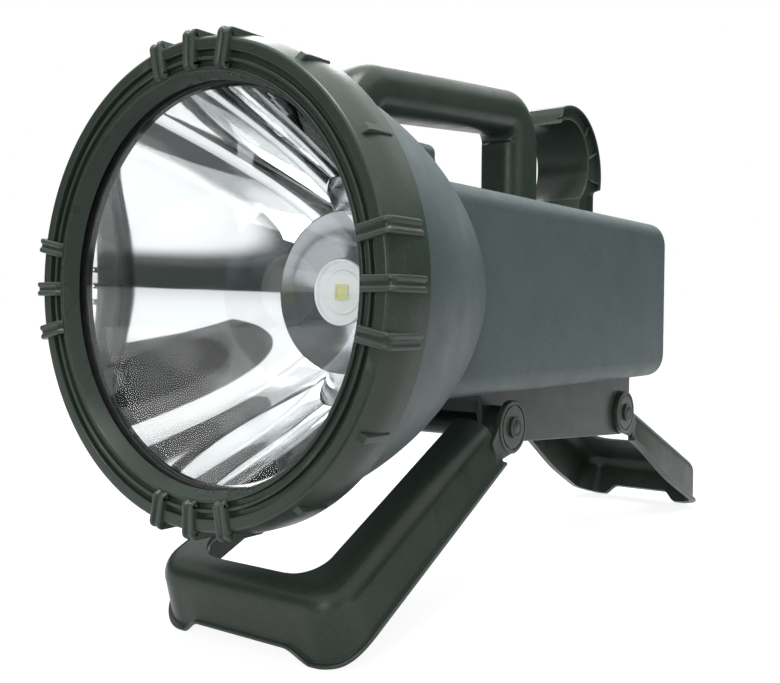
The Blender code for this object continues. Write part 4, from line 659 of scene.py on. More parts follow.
def ring_outline():
    """(radius, y) outline of the ring over its two grooves and down to the lens seat."""
    face = -RING_NOSE
    lip = LIP_RADIUS + LIP
    inner = lip + GROOVE_WIDTH
    outer = inner + RIDGE + GROOVE_WIDTH
    bore = RIM_RADIUS + GAP
    return rounded([
        (RING_RADIUS, RING_SKIRT, RING_BACK_EDGE), (RING_RADIUS, RING_SHOULDER, RING_BEND),
        (RING_FACE_RADIUS, face, RING_EDGE), (outer, face),
        (outer, GROOVE_DEPTH, GROOVE_EDGE), (inner + RIDGE, GROOVE_DEPTH, GROOVE_EDGE),
        (inner + RIDGE, face / 2), (inner, face / 2),
        (inner, GROOVE_DEPTH, GROOVE_EDGE), (lip, GROOVE_DEPTH, GROOVE_EDGE), (lip, 0.0),
        (LIP_RADIUS, 0.0, GROOVE_EDGE), (SEAT_RADIUS, SEAT_DEPTH, SEAT_EDGE),
        (bore, SEAT_DEPTH, 0.0), (bore, RING_SKIRT, SEAT_EDGE),
    ], steps=4)


def rib(path, width, groove, angle):
    """A bar with rounded edges swept along a path of (radius, y), at an angle round Y."""
    half = width / 2
    side = [
        (1.0, -RIB_WALL), (1.0, -RIB_HEIGHT / 3), (0.93, -RIB_HEIGHT / 8), (0.78, 0.0), (0.52, 0.0),
        (0.34, -groove * 0.45), (0.18, -groove),
    ]
    section = [(-across, height) for across, height in side] + side[::-1]
    points = [Vector(p) for p in path]
    rings = []
    for i, here in enumerate(points):
        along = points[min(i + 1, len(points) - 1)] - points[max(i - 1, 0)]
        normal = Vector((-along.y, along.x)).normalized()
        spots = [(across * half, here + normal * height) for across, height in section]
        rings.append([(x, spot.y, spot.x) for x, spot in spots])
    bar = swept("rib", rings)
    bar.data.transform(Matrix.Rotation(angle, 4, "Y"))
    return bar


def eased_end(point, ahead, drop):
    """A rounded end for a path: points that fall away by drop behind the first one."""
    here = Vector(point)
    back = (here - Vector(ahead)).normalized()
    down = Vector((-1.0, 0.0))
    made = []
    for i in range(4):
        angle = pi / 2 * i / 4
        made.append(here + back * drop * cos(angle) + down * drop * (1 - sin(angle)))
    return made


def front_ring():
    """The turned ring with, in each quarter, three long ribs and two short ones between."""
    top = RING_RADIUS + RIB_HEIGHT / 2
    front = -RING_NOSE - RIB_HEIGHT
    rear = RING_SKIRT - RIB_END
    low = LIP_RADIUS + LIP / 2
    drop = RIB_HEIGHT
    end = [*eased_end((top, rear - drop), (top, 0.0), drop), (top, rear - drop)]
    long_path = [
        *end, (top, rear / 2),
        *arc((top - RIB_CORNER, front + RIB_CORNER), RIB_CORNER, 0.0, -pi / 2, 8),
        (low + RIB_HEIGHT * 1.6, front), (low + RIB_HEIGHT * 0.7, front + RIB_HEIGHT / 4),
        (low, -RING_NOSE / 4),
    ]
    start = SHORT_RIB_START
    short_path = [
        *end, (top, start + RIB_HEIGHT * 2.5), (top - RIB_HEIGHT / 4, start + RIB_HEIGHT),
        (RING_FACE_RADIUS + RIB_HEIGHT / 2, start),
    ]
    parts = [lathe("ring", ring_outline())]
    for quarter in range(4):
        turn = quarter * pi / 2
        parts += [rib(long_path, RIB_WIDTH, RIB_GROOVE, turn + RIB_SPACING * side) for side in (-1, 0, 1)]
        parts += [rib(short_path, SHORT_RIB_WIDTH, 0.0, turn + angle) for angle in SHORT_RIB_ANGLES]
    show(merged("front_ring", parts, DARK), "front_ring", "dark_plastic", "bezel_ring")


# Lens, reflector and lamp

def bowl_radius(depth):
    return sqrt(DISH_RADIUS ** 2 + 4 * FOCUS * (DISH_DEPTH - depth))


def lens():
    rear = LENS_FRONT + LENS_THICKNESS
    outline = rounded([
        (0.0, LENS_FRONT, 0.0), (LENS_RADIUS, LENS_FRONT), (LENS_RADIUS, rear), (0.0, rear, 0.0),
    ], LENS_EDGE)
    show(lathe("front_lens", outline, CLEAR), "housing", "clear_lens", "lens")


def reflector():
    """A paraboloid bowl with a flange at its mouth and a collar at its base."""
    depths = spread(FLANGE_FRONT, DISH_DEPTH - FLANGE_FRONT, 48)
    inner = [(bowl_radius(y), y) for y in depths]
    back = FLANGE_FRONT + FLANGE
    outer = [(bowl_radius(y) + BOWL_WALL, y) for y in depths if y > back]
    rear = DISH_DEPTH + COLLAR_LENGTH
    collar = rear - FLANGE * 2
    outline = [
        *inner, (DISH_RADIUS, rear), (COLLAR_RADIUS, rear), (COLLAR_RADIUS, collar),
        (DISH_RADIUS + BOWL_WALL, collar), *reversed(outer),
        (bowl_radius(back) + BOWL_WALL, back), (LENS_RADIUS, back), (LENS_RADIUS, FLANGE_FRONT),
    ]
    show(lathe("reflector_bowl", outline, CHROME), "housing", "chromed_plastic", "reflector")


def lamp():
    """The dish, its white cup, the board and the square emitter."""
    inner = CUP_RADIUS + GAP
    radius = DISH_RADIUS - GAP
    front = DISH_DEPTH + GAP
    count = 10
    face = [
        (radius + (inner - radius) * i / count, front + DISH_RISE * sin(pi * i / count))
        for i in range(count + 1)
    ]
    back = [(r, y + DISH_THICKNESS) for r, y in reversed(face)]
    show(lathe("dish_plate", face + back, DISH), "housing", "grey_metal", "lamp_dish")
    front = DISH_DEPTH - CUP_PROUD
    rear = DISH_DEPTH + CUP_DEPTH
    hole = BOARD_RADIUS + GAP / 2
    floor = rear - CUP_WALL
    outline = rounded([
        (CUP_RADIUS, front), (CUP_RADIUS, rear), (hole, rear), (hole, floor, BOARD_EDGE),
        (CUP_RADIUS - CUP_WALL, floor, CUP_CORNER), (CUP_RADIUS - CUP_WALL, front),
    ], steps=5)
    show(lathe("white_cup", outline, WHITE, ROUND_STEPS * 2), "housing", "white_plastic", "lamp_cup")
    board = rear - BOARD_THICKNESS
    outline = rounded([
        (0.0, board, 0.0), (BOARD_RADIUS, board, BOARD_EDGE), (BOARD_RADIUS, rear), (0.0, rear, 0.0),
    ])
    show(lathe("lamp_board", outline, WHITE, ROUND_STEPS), "housing", "white_plastic", "led_board")
    half = PACKAGE_SIZE / 2
    top = board - GAP - PACKAGE_THICKNESS
    case = box("case", (-half, top, -half), (half, board - GAP, half), edge=PACKAGE_EDGE, segments=2)
    pocket = half * POCKET_SHARE
    floor = top + POCKET_DEPTH
    cut(case, box("pocket", (-pocket, top - OVERRUN, -pocket), (pocket, floor, pocket)))
    case.data.materials.append(EMITTER)
    show(case, "housing", "emitter", "led_package")
    die = half * DIE_SHARE
    chip = box("emitter_die", (-die, top + DIE_SUNK, -die), (die, floor, die), EMITTER, DIE_EDGE, 1)
    show(chip, "housing", "emitter")


# Housing

def bell_radius(y):
    share = (y - BELL_FRONT) / BELL_REACH
    return BELL_RADIUS * (1 - max(share, 0.0) ** BELL_CURVE_SHARE)


def bell_solid(grow=0.0):
    """The bell as a full solid, larger all round by grow."""
    depths = spread(BELL_FRONT, BELL_LENGTH, 36)
    face = SEAT_DEPTH + GAP - grow
    outline = [
        (0.0, face), (RIM_RADIUS + grow, face), (RIM_RADIUS + grow, BELL_FRONT - grow),
        (BELL_RADIUS - BELL_EDGE + grow, BELL_FRONT - grow),
        (BELL_RADIUS + grow, BELL_FRONT + BELL_EDGE - grow),
        *[(bell_radius(y) + grow, y) for y in depths[1:]],
        (0.0, depths[-1]),
    ]
    return lathe("bell", outline)


def box_solid(grow=0.0):
    """The box: its ends rounded in side view, then its long edges."""
    low = BODY_BOTTOM - grow
    high = BODY_TOP + grow
    rear = BODY_REAR + grow
    end = BODY_END_EDGE + grow
    outline = [
        (BODY_FRONT, low), *arc((rear - end, low + end), end, -pi / 2, 0.0, 10),
        *arc((rear - end, high - end), end, 0.0, pi / 2, 10), (BODY_FRONT, high),
    ]
    half = BODY_HALF_WIDTH + grow
    solid = prism("box", outline, -half, half)
    bm = bmesh.new()
    bm.from_mesh(solid.data)
    rims = [
        e for e in bm.edges
        if abs(e.verts[0].co.x - e.verts[1].co.x) < WELD
        and max(v.co.y for v in e.verts) > BODY_FRONT + WELD
    ]
    bmesh.ops.bevel(bm, geom=rims, offset=BODY_EDGE + grow, segments=10, profile=0.5, affect="EDGES")
    bmesh.ops.recalc_face_normals(bm, faces=bm.faces)
    bm.to_mesh(solid.data)
    bm.free()
    return solid


def boss_solid(grow=0.0):
    low = (-BOSS_HALF_WIDTH - grow, BOSS_FRONT - grow, BOSS_FLOOR)
    high = (BOSS_HALF_WIDTH + grow, BOSS_REAR + grow, BOSS_TOP + grow)
    return box("boss", low, high, edge=BOSS_EDGE + grow, segments=6)


def housing_outer(grow=0.0):
    return join(bell_solid(grow), box_solid(grow), boss_solid(grow))


def housing_cavity():
    """Room for the lens and bowl in front, and for the pieces inside the box."""
    depths = spread(FLANGE_FRONT * 2, BELL_FRONT + BELL_LENGTH - FLANGE_FRONT * 2, 12)
    outline = [
        (0.0, SEAT_DEPTH - OVERRUN), (LENS_RADIUS + GAP, SEAT_DEPTH - OVERRUN),
        (LENS_RADIUS + GAP, FLANGE_FRONT + FLANGE + GAP), (LEDGE_RADIUS, FLANGE_FRONT + FLANGE + GAP),
        *[(bell_radius(y) - WALL, y) for y in depths], (0.0, depths[-1]),
    ]
    return join(lathe("cavity", outline, steps=ROUND_STEPS), box_solid(-WALL))


def housing():
    """The hollow housing with its posts and holes, split down the middle into two shells."""
    whole = cut(housing_outer(), housing_cavity())
    inside = BODY_HALF_WIDTH - WALL / 2
    join(whole, *[rod("post", POST_RADIUS, -inside, inside, spot) for spot in POST_PLACES])
    holes = []
    for spot in POST_PLACES:
        head = -POST_HEAD_FROM_SPLIT
        holes.append(rod("bore", SCREW_HEAD_RADIUS + GAP, -BODY_HALF_WIDTH - OVERRUN, head, spot))
        holes.append(rod("bore", SCREW_RADIUS + GAP, head - OVERRUN, POST_HEAD_FROM_SPLIT, spot))
    pocket = BOSS_REAR - BUTTON_SUNK - BUTTON_EDGE * 2
    half = (BUTTON_HALF_WIDTH + GAP * 1.5, BUTTON_HALF_HEIGHT + GAP * 1.5)
    holes.append(box(
        "pocket", (-half[0], pocket, BUTTON_HEIGHT - half[1]),
        (half[0], BOSS_REAR + OVERRUN, BUTTON_HEIGHT + half[1]), edge=BUTTON_EDGE,
    ))
    for node, radius in REAR_HOLE_RADII.items():
        low, high = (corner - PLACE.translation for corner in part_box(node))
        middle = ((low.x + high.x) / 2, (low.z + high.z) / 2)
        if node == "charge_socket":
            middle = (middle[0], low.z + (high.x - low.x) / 2)
        ends = (BODY_REAR - WALL - OVERRUN, BODY_REAR + OVERRUN)
        holes.append(rod("bore", radius, *ends, middle, axis=1))
    cut(whole, *holes)
    reach = BODY_REAR
    for name, side in (("body_shell_right", 1), ("body_shell_left", -1)):
        half = linked("housing_right" if side > 0 else "housing_left", whole.data.copy())
        edges = sorted((side * GAP / 2, -side * reach))
        half.data.materials.clear()
        half.data.materials.append(HOUSING)
        cut(half, box("slab", (edges[0], -reach, -reach), (edges[1], reach * 2, reach)))
        show(half, "housing", "housing_plastic", name)
    bpy.data.objects.remove(whole)


# Handle and hook

def handle_route():
    """Centre line in the plane of symmetry, as (y, z, half thickness), with its bends."""
    corners = [
        (HANDLE_FRONT_POST, BODY_TOP, HANDLE_HALF_THICKNESS),
        (HANDLE_FRONT_POST, HANDLE_FRONT_TOP, HANDLE_HALF_THICKNESS),
        (HANDLE_REAR_POST, HANDLE_REAR_TOP, HANDLE_HALF_THICKNESS),
        (HANDLE_REAR_POST, BODY_TOP - WALL, HANDLE_POST_HALF_DEPTH),
    ]
    bends = {1: HANDLE_FRONT_BEND, 2: HANDLE_REAR_BEND}
    route = [corners[0]]
    for index, radius in bends.items():
        here = Vector(corners[index][:2])
        back = (Vector(corners[index - 1][:2]) - here).normalized()
        ahead = (Vector(corners[index + 1][:2]) - here).normalized()
        reach = radius / tan(back.angle(ahead) / 2)
        thick = (HANDLE_HALF_THICKNESS, corners[index + 1][2])
        for i, spot in enumerate(bend(here, back, ahead, reach, HANDLE_BEND_STEPS)):
            half = thick[0] + (thick[1] - thick[0]) * i / HANDLE_BEND_STEPS
            route.append((spot.x, spot.y, half))
        if index == 1:
            start = Vector(route[-1][:2])
            end = Vector(corners[2][:2])
            for i in range(1, HANDLE_STEPS + 1):
                spot = start.lerp(end, HANDLE_LEVEL_SHARE * i / (HANDLE_STEPS + 1))
                route.append((spot.x, spot.y, HANDLE_HALF_THICKNESS))
    start = route[-1]
    for i in range(1, HANDLE_STEPS + 1):
        z = start[1] + (corners[3][1] - start[1]) * i / HANDLE_STEPS
        route.append((HANDLE_REAR_POST, z, HANDLE_POST_HALF_DEPTH))
    return route


def handle():
    """A tube of rounded-square section along the route, cut off where it meets the housing."""
    route = handle_route()
    rings = []
    for index, (y, z, half) in enumerate(route):
        before = route[max(index - 1, 0)]
        after = route[min(index + 1, len(route) - 1)]
        along = Vector((0.0, after[0] - before[0], after[1] - before[1])).normalized()
        up = Vector((1.0, 0.0, 0.0)).cross(along)
        ring = []
        for i in range(ROUND_STEPS):
            angle = tau * (i + 0.5) / ROUND_STEPS
            power = 2 / HANDLE_ROUND_SHARE
            cosine, sine = cos(angle), sin(angle)
            across = copysign(abs(cosine) ** power, cosine) * HANDLE_HALF_WIDTH
            upward = copysign(abs(sine) ** power, sine) * half
            ring.append(Vector((across, y, z)) + up * upward)
        rings.append(ring)
    tube = swept("tube_handle", rings, DARK)
    cut(tube, housing_outer(GAP))
    show(tube, "housing", "dark_plastic", "handle")


def hook_outline(shrink):
    """Side view of the hook, drawn in by shrink. The tip turns back with it."""
    tip = HOOK_TIP_ANGLE - shrink * HOOK_TIP_TURN
    inner = arc((HOOK_INNER_Y, HOOK_INNER_Z), HOOK_INNER_RADIUS + shrink, tip, -pi / 3, HOOK_STEPS)
    notch = acos((HOOK_NECK_Y - HOOK_OUTER_Y) / HOOK_OUTER_RADIUS)
    outer = arc(
        (HOOK_OUTER_Y, HOOK_OUTER_Z), HOOK_OUTER_RADIUS - shrink, -notch / 4, tip - HOOK_TIP_CUT,
        HOOK_STEPS,
    )
    base = BODY_TOP + GAP + shrink
    neck_top = HOOK_OUTER_Z - HOOK_OUTER_RADIUS / 4
    return [
        *inner, (HOOK_FOOT_Y + shrink, base), (HOOK_NECK_Y - shrink, base),
        *arc(
            (HOOK_NECK_Y - shrink + HOOK_NOTCH, neck_top - HOOK_NOTCH), HOOK_NOTCH,
            pi, pi * 0.6, 6,
        ), *outer,
    ]


def hook():
    """A C-shaped hook with a sunk side between rims, crossed by small webs."""
    half = HOOK_HALF_WIDTH
    body = prism("hook_body", hook_outline(0.0), -half, half, DARK, HOOK_EDGE / 2)
    sunk = []
    for side in (-1, 1):
        ends = sorted((side * (half - HOOK_RECESS), side * (half + OVERRUN)))
        sunk.append(prism("sunk", hook_outline(HOOK_RIM), *ends))
    cut(body, *sunk)
    webs = []
    low = HOOK_INNER_RADIUS + HOOK_RIM / 2
    high = HOOK_OUTER_RADIUS - HOOK_RIM / 2
    for angle in HOOK_WEB_ANGLES:
        for side in (-1, 1):
            x = sorted((side * (half - HOOK_RECESS - FILLET), side * (half - HOOK_RECESS / 3)))
            web = box(
                "web", (x[0], low, -HOOK_WEB / 2), (x[1], high, HOOK_WEB / 2),
                edge=HOOK_WEB_EDGE, segments=1,
            )
            web.data.transform(
                Matrix.Translation((0.0, HOOK_OUTER_Y, HOOK_OUTER_Z)) @ Matrix.Rotation(angle, 4, "X")
            )
            webs.append(web)
    join(body, *webs)
    show(body, "housing", "dark_plastic", "cord_hook")


def button():
    front = BOSS_REAR - BUTTON_SUNK
    rear = BOSS_REAR + BUTTON_PROUD
    cap = box(
        "cap", (-BUTTON_HALF_WIDTH, front, BUTTON_HEIGHT - BUTTON_HALF_HEIGHT),
        (BUTTON_HALF_WIDTH, rear - BUTTON_RIDGE_HEIGHT, BUTTON_HEIGHT + BUTTON_HALF_HEIGHT),
        edge=BUTTON_EDGE,
    )
    ridges = []
    root = rear - BUTTON_RIDGE_HEIGHT - BUTTON_RIDGE_ROOT
    reach = BUTTON_HALF_HEIGHT * BUTTON_RIDGE_SHARE
    pitch = BUTTON_HALF_WIDTH * BUTTON_RIDGE_SPREAD / BUTTON_RIDGES
    for i in range(BUTTON_RIDGES):
        x = (i - (BUTTON_RIDGES - 1) / 2) * pitch
        ridges.append(box(
            "ridge", (x - BUTTON_RIDGE / 2, root, BUTTON_HEIGHT - reach),
            (x + BUTTON_RIDGE / 2, rear, BUTTON_HEIGHT + reach), edge=FILLET, segments=3,
        ))
    show(merged("press_button", [cap, *ridges], BUTTON), "button", "button_plastic", "switch_button")


# Stand

def bracket_outline(inset):
    top = BODY_BOTTOM - GAP - inset
    front = BRACKET_FRONT_NOSE - inset
    rear = BRACKET_REAR_NOSE - inset
    return [
        (FRONT_HINGE[0] - BRACKET_REAR_NOSE + inset, top),
        *arc(FRONT_HINGE, front, pi, pi * 1.5, 16),
        *arc(REAR_HINGE, rear, -pi / 2, 0.0, 16),
        (REAR_HINGE[0] + rear, top),
    ]


def bracket():
    """An open channel under the box with a tube for each hinge pin."""
    half = BRACKET_HALF_WIDTH
    body = prism("stand_mount", bracket_outline(0.0), -half, half, DARK, BRACKET_EDGE)
    inner = bracket_outline(BRACKET_WALL)
    low = REAR_HINGE[1] - BRACKET_REAR_NOSE - OVERRUN
    opening = [inner[0], (inner[0][0], low), (inner[-1][0], low), inner[-1]]
    half -= BRACKET_WALL
    cut(body, prism("hollow", opening, -half, half))
    hinges = (FRONT_HINGE, REAR_HINGE)
    parts = [rod("tube", PIN_TUBE_RADIUS, -half - GAP, half + GAP, hinge) for hinge in hinges]
    boss_end = FRONT_HALF_WIDTHS[0] - STAND_WALL - GAP
    for side in (-1, 1):
        ends = sorted((side * (BRACKET_HALF_WIDTH - BRACKET_WALL / 2), side * boss_end))
        parts.append(rod("boss", HINGE_BOSS_RADIUS, *ends, FRONT_HINGE, ROUND_STEPS, FILLET))
    join(body, *parts)
    far = FRONT_HALF_WIDTHS[0]
    cut(body, *[rod("bore", PIN_RADIUS + GAP, -far, far, hinge) for hinge in hinges])
    show(body, "housing", "dark_plastic", "stand_bracket")


def pins():
    """Each pin has a domed head inside a raised rim."""
    for name, hinge, half_width in (
        ("front", FRONT_HINGE, FRONT_HALF_WIDTHS[0]), ("rear", REAR_HINGE, REAR_HALF_WIDTHS[0]),
    ):
        face = half_width + EAR_PROUD + GAP
        across, foot = PIN_DOME
        head = list(PIN_RIM)
        for i in range(PIN_DOME_STEPS):
            angle = pi / 2 * i / PIN_DOME_STEPS
            head.append((across * cos(angle), foot + (1.0 - foot) * sin(angle)))
        head.append((0.0, 1.0))
        outline = [
            (0.0, -face - PIN_HEAD), (PIN_RADIUS, -face - PIN_HEAD), (PIN_RADIUS, face),
            *[(PIN_HEAD_RADIUS * out, face + PIN_HEAD * up) for out, up in head],
        ]
        pin = lathe(f"{name}_pin", outline, DARK_STEEL, ROUND_STEPS)
        pin.data.transform(Matrix.Translation((0.0, *hinge)) @ Matrix.Rotation(-pi / 2, 4, "Z"))
        show(pin, "housing", "dark_steel", f"{name}_hinge_pin")


def stand_corner(edge, radius, slope, reach):
    """Centre of a corner that joins a sloping side, at x = edge + slope * y, to y = reach."""
    lean = -atan(slope)
    y = reach - radius
    touch = y + radius * sin(lean)
    return Vector((edge + slope * touch - radius * cos(lean), y))


def eased(share):
    return share * share * (3 - 2 * share)


def stand_stations(half_widths, reach, band, drops):
    """Matched points of the U in plan: (outer point, outward normal, inner point, lower edge)."""
    root, belly, foot, middle = drops
    hinge_half, foot_half = half_widths
    slope = (foot_half - hinge_half) / reach
    lean = -atan(slope)
    centre = stand_corner(hinge_half, STAND_CORNER, slope, reach)
    window = stand_corner(hinge_half - ARM_BAND, WINDOW_CORNER, slope, reach - band)
    side = Vector((cos(lean), sin(lean)))
    stations = []
    count = 14
    for i in range(count):
        share = i / count
        y = STAND_CLEAR + (centre.y - STAND_CLEAR) * share
        inner_y = STAND_CLEAR + (window.y - STAND_CLEAR) * share
        drop = root + (belly - root) * eased(min(1.0, share / 0.7))
        stations.append((
            Vector((hinge_half + slope * y, y)), side,
            Vector((hinge_half - ARM_BAND + slope * inner_y, inner_y)), drop,
        ))
    count = 18
    for i in range(count + 1):
        angle = lean + (pi / 2 - lean) * i / count
        normal = Vector((cos(angle), sin(angle)))
        drop = belly + (foot - belly) * eased(min(1.0, 1.5 * i / count))
        stations.append((centre + normal * STAND_CORNER, normal, window + normal * WINDOW_CORNER, drop))
    up = Vector((0.0, 1.0))
    count = 12
    for i in range(1, count + 1):
        share = 1.0 - 0.5 * i / count
        low_share = 1.0 - eased(min(1.0, i / count * 1.5))
        x = centre.x * share
        stations.append((
            Vector((x, reach)), up, Vector((min(x, window.x), reach - band)),
            middle + (foot - middle) * low_share,
        ))
    mirrored = [
        (Vector((-o.x, o.y)), Vector((-n.x, n.y)), Vector((-i.x, i.y)), drop)
        for o, n, i, drop in reversed(stations)
    ]
    return stations + mirrored


def stand_section(top, outer, normal, inner, drop):
    """Section at a station: lip, leaning wall, rounded shoulder, top plate, and back inside."""
    high = outer - normal * STAND_DRAFT
    lip = STAND_LIP_THICKNESS
    places = [
        (outer + normal * (STAND_LIP - lip / 4), -drop), (outer + normal * STAND_LIP, -drop + lip / 4),
        (outer + normal * STAND_LIP, -drop + lip * 0.75),
        (outer + normal * (STAND_LIP - lip / 4), -drop + lip), (outer + normal * lip / 5, -drop + lip),
        (outer, -drop + lip * 1.3), (high, top - STAND_EDGE),
    ]
    for i in range(1, 8):
        angle = pi / 16 * i
        places.append((
            high - normal * STAND_EDGE * (1 - cos(angle)), top - STAND_EDGE * (1 - sin(angle)),
        ))
    round_in = STAND_EDGE - STAND_WALL
    rim = STAND_WALL / 4
    across = (inner - outer).normalized()
    places += [
        (high - normal * STAND_EDGE, top), (inner - across * rim, top), (inner, top - rim),
        (inner, top - STAND_WALL + rim), (inner - across * rim, top - STAND_WALL),
        (high - normal * STAND_EDGE, top - STAND_WALL),
    ]
    for i in range(1, 4):
        angle = pi / 2 - pi / 8 * i
        places.append((
            high - normal * (STAND_EDGE - round_in * cos(angle)),
            top - STAND_EDGE + round_in * sin(angle),
        ))
    places += [(high - normal * STAND_WALL, top - STAND_EDGE), (outer - normal * STAND_WALL, -drop)]
    return places


def stand(name, hinge, half_widths, foot_y, top, band, drops, node, body):
    """A U-shaped leg, built flat with its hinge at zero, then tilted down to the floor."""
    height = AXIS_HEIGHT + hinge[1]
    span = hypot(foot_y - hinge[0], height + FOOT_FLAT)
    reach = sqrt(span ** 2 - drops[2] ** 2) - STAND_LIP
    tilt = asin((height + FOOT_FLAT) / span) - atan2(drops[2], reach + STAND_LIP)
    stations = stand_stations(half_widths, reach, band, drops)
    leg = swept(name, [[(*spot, z) for spot, z in stand_section(top, *s)] for s in stations], DARK)
    ear = [
        *arc((0.0, 0.0), EAR_RADIUS, pi / 2, pi * 1.5, 32),
        (STAND_CLEAR + OVERRUN, -drops[0] + STAND_LIP_THICKNESS * 2),
        (STAND_CLEAR + OVERRUN, top - STAND_EDGE),
    ]
    hinge_half = half_widths[0]
    far = hinge_half + OVERRUN
    inner = EAR_GROOVE * EAR_GROOVE_SHARE
    steps = ROUND_STEPS * 2
    for side in (-1, 1):
        face = side * (hinge_half + EAR_PROUD)
        web = sorted((side * (hinge_half - STAND_WALL), side * hinge_half))
        disc = sorted((side * (hinge_half - STAND_WALL), face))
        join(
            leg, prism("web", ear, *web, edge=EAR_EDGE),
            rod("disc", EAR_RADIUS, *disc, steps=steps, edge=EAR_EDGE * 2),
        )
        groove = sorted((face - side * EAR_PROUD, face + side * OVERRUN))
        ring = rod("groove", EAR_GROOVE, *groove, steps=steps)
        cut(ring, rod("core", inner, -far * 2, far * 2, steps=steps))
        cut(leg, ring)
    cut(leg, rod("bore", PIN_RADIUS + GAP, -far, far))
    side = 1 if foot_y > hinge[0] else -1
    if side < 0:
        leg.data.transform(Matrix.Rotation(pi, 4, "Z"))
    leg.data.transform(Matrix.Rotation(-side * tilt, 4, "X"))
    wide = hinge_half * 2
    cut(leg, box("floor", (-wide, -span * 2, -height - wide), (wide, span * 2, -height)))
    leg.data.transform(Matrix.Translation((0.0, *hinge)))
    show(leg, body, "dark_plastic", node)


# Carried-over nodes

def dress():
    """Gives every model node that stays its own finish, by the last word that its name holds."""
    finishes = {
        "washer": SPRING, "cap_pin": SPRING, "spring": SPRING, "strap": SPRING, "gasket": RUBBER,
        "pad": RUBBER, "socket_cap": RUBBER, "heat_sink": CAST, "battery_pack": CASE,
        "driver_board": GREEN, "switch_body": BLACK, "charge_socket": BLACK,
        "charge_light": LIGHT_PIPE, "cable": SHEATH, "screw": STEEL,
    }
    for name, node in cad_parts.items():
        words = [word for word in finishes if word in name]
        if words:
            node.data.materials.clear()
            node.data.materials.append(finishes[words[-1]])


# Stage

def aimed(name, data, place, direction, roll=0.0):
    """A camera or light at a place, turned in a direction."""
    obj = linked(name, data)
    turn = direction.to_track_quat("-Z", "Y").to_matrix().to_4x4()
    obj.matrix_world = Matrix.Translation(place) @ turn @ Matrix.Rotation(roll, 4, "Z")
    return obj


def camera():
    data = bpy.data.cameras.new("camera")
    data.sensor_width = SENSOR
    data.lens = FOCAL_PIXELS * SENSOR / IMAGE_WIDTH
    data.shift_x = SHIFT_X_PIXELS / IMAGE_WIDTH
    data.shift_y = SHIFT_Y_PIXELS / IMAGE_WIDTH
    place = PLACE @ Vector(CAMERA_PLACE)
    bpy.context.scene.camera = aimed("camera", data, place, Vector(CAMERA_AIM), CAMERA_ROLL)


def softbox(name, place, aim, width, height, power):
    data = bpy.data.lights.new(name, "AREA")
    data.shape = "RECTANGLE"
    data.size = width
    data.size_y = height
    data.energy = power
    aimed(name, data, place, Vector(aim) - Vector(place))


def room():
    """White to the camera, plain light on the object, and a room with dark felt in the mirrors."""
    scene = bpy.context.scene
    scene.view_settings.view_transform = "Standard"
    scene.world = bpy.data.worlds.new("studio")
    world = Tree(scene.world)

    def background(colour, strength):
        return world.node("Background", {"Color": (*colour, 1.0), "Strength": strength})["Background"]

    rays = world.node("LightPath")
    way = world.node("TexCoord")["Generated"]
    parts = world.node("SeparateXYZ", {"Vector": way})
    levels = []
    for axis, start, end in ROOM_BANDS:
        levels.append(world.mapped(parts[axis], 0.0, 1.0, start, end, "SMOOTHSTEP"))
    for direction, start, end, level in ROOM_GLOWS:
        near = world.node("VectorMath", {0: way, 1: direction}, operation="DOT_PRODUCT")["Value"]
        levels.append(world.mapped(near, 0.0, level, start, end, "SMOOTHSTEP"))
    bright = levels[0]
    for level in levels[1:]:
        bright = world.node("Math", {0: bright, 1: level}, operation="MAXIMUM")["Value"]
    mirrored = world.either(bright, background(*ROOM_FELT), background(*ROOM_WHITE))
    seen = world.either(rays["Is Diffuse Ray"], mirrored, background(*ROOM_LIGHT))
    seen = world.either(rays["Is Camera Ray"], seen, background((1.0, 1.0, 1.0), 1.0))
    world.link(seen, world.nodes["World Output"].inputs["Surface"])


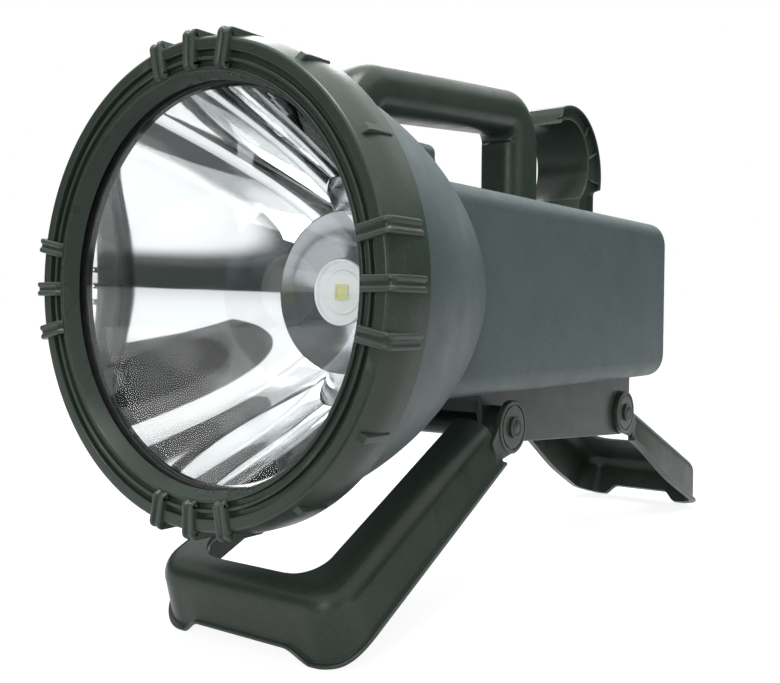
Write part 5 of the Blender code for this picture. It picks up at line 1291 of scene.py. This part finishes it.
def floor():
    """A sheet of grey paper that is lit up to white for the camera and for mirrors."""
    bm = bmesh.new()
    bmesh.ops.create_grid(bm, x_segments=1, y_segments=1, size=FLOOR_HALF)
    bmesh.ops.translate(bm, verts=bm.verts, vec=(0.0, 0.0, -FLOOR_DROP))
    paper = Finish("floor", Roughness=0.9, Specular_IOR_Level=0.0, Emission_Color=(1.0, 1.0, 1.0, 1.0))
    paper.colour(paper.noise(0.4), (0.36, 0.36, 0.36), (0.38, 0.38, 0.38))
    rays = paper.node("LightPath")
    seen = paper.mapped(rays["Is Camera Ray"], 0.0, FLOOR_SEEN, 0.0, 1.0)
    mirrored = paper.mapped(rays["Is Glossy Ray"], 0.0, FLOOR_MIRRORED, 0.0, 1.0)
    paper.set("Emission Strength", paper.node("Math", {0: seen, 1: mirrored})["Value"])
    piece("floor", bm, paper.mat)


def dark_card():
    """A dark card on the floor in front of the ring, which only mirrors see."""
    low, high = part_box("bezel_ring")
    x, y = (low.x + high.x) / 2, low.y
    near, far = FLAG_REACH
    bm = bmesh.new()
    for i in range(FLAG_STEPS):
        first, last = [FLAG_FROM + (FLAG_TO - FLAG_FROM) * (i + end) / FLAG_STEPS for end in (0, 1)]
        corners = [(near, first), (far, first), (far, last), (near, last)]
        bm.faces.new([
            bm.verts.new((x + r * sin(a), y - r * cos(a), FLOOR_DROP)) for r, a in corners
        ])
    felt = Finish("felt", Roughness=0.95, Specular_IOR_Level=0.0)
    felt.colour(felt.noise(0.05), (0.004, 0.006, 0.005), (0.010, 0.013, 0.012))
    flag = piece("floor_flag", bm, felt.mat)
    flag.visible_camera = False
    flag.visible_diffuse = False
    flag.visible_shadow = False


camera()
front_ring()
lens()
reflector()
lamp()
housing()
handle()
hook()
button()
bracket()
pins()
stand(
    "front_leg_shell", FRONT_HINGE, FRONT_HALF_WIDTHS, FRONT_FOOT_Y, FRONT_TOP, FRONT_BAR_BAND,
    FRONT_DROPS, "front_stand", "front_leg",
)
stand(
    "rear_leg_shell", REAR_HINGE, REAR_HALF_WIDTHS, REAR_FOOT_Y, REAR_TOP, REAR_BAR_BAND,
    REAR_DROPS, "rear_stand", "rear_leg",
)
dress()
room()
floor()
dark_card()
for light in SOFTBOXES:
    softbox(*light)
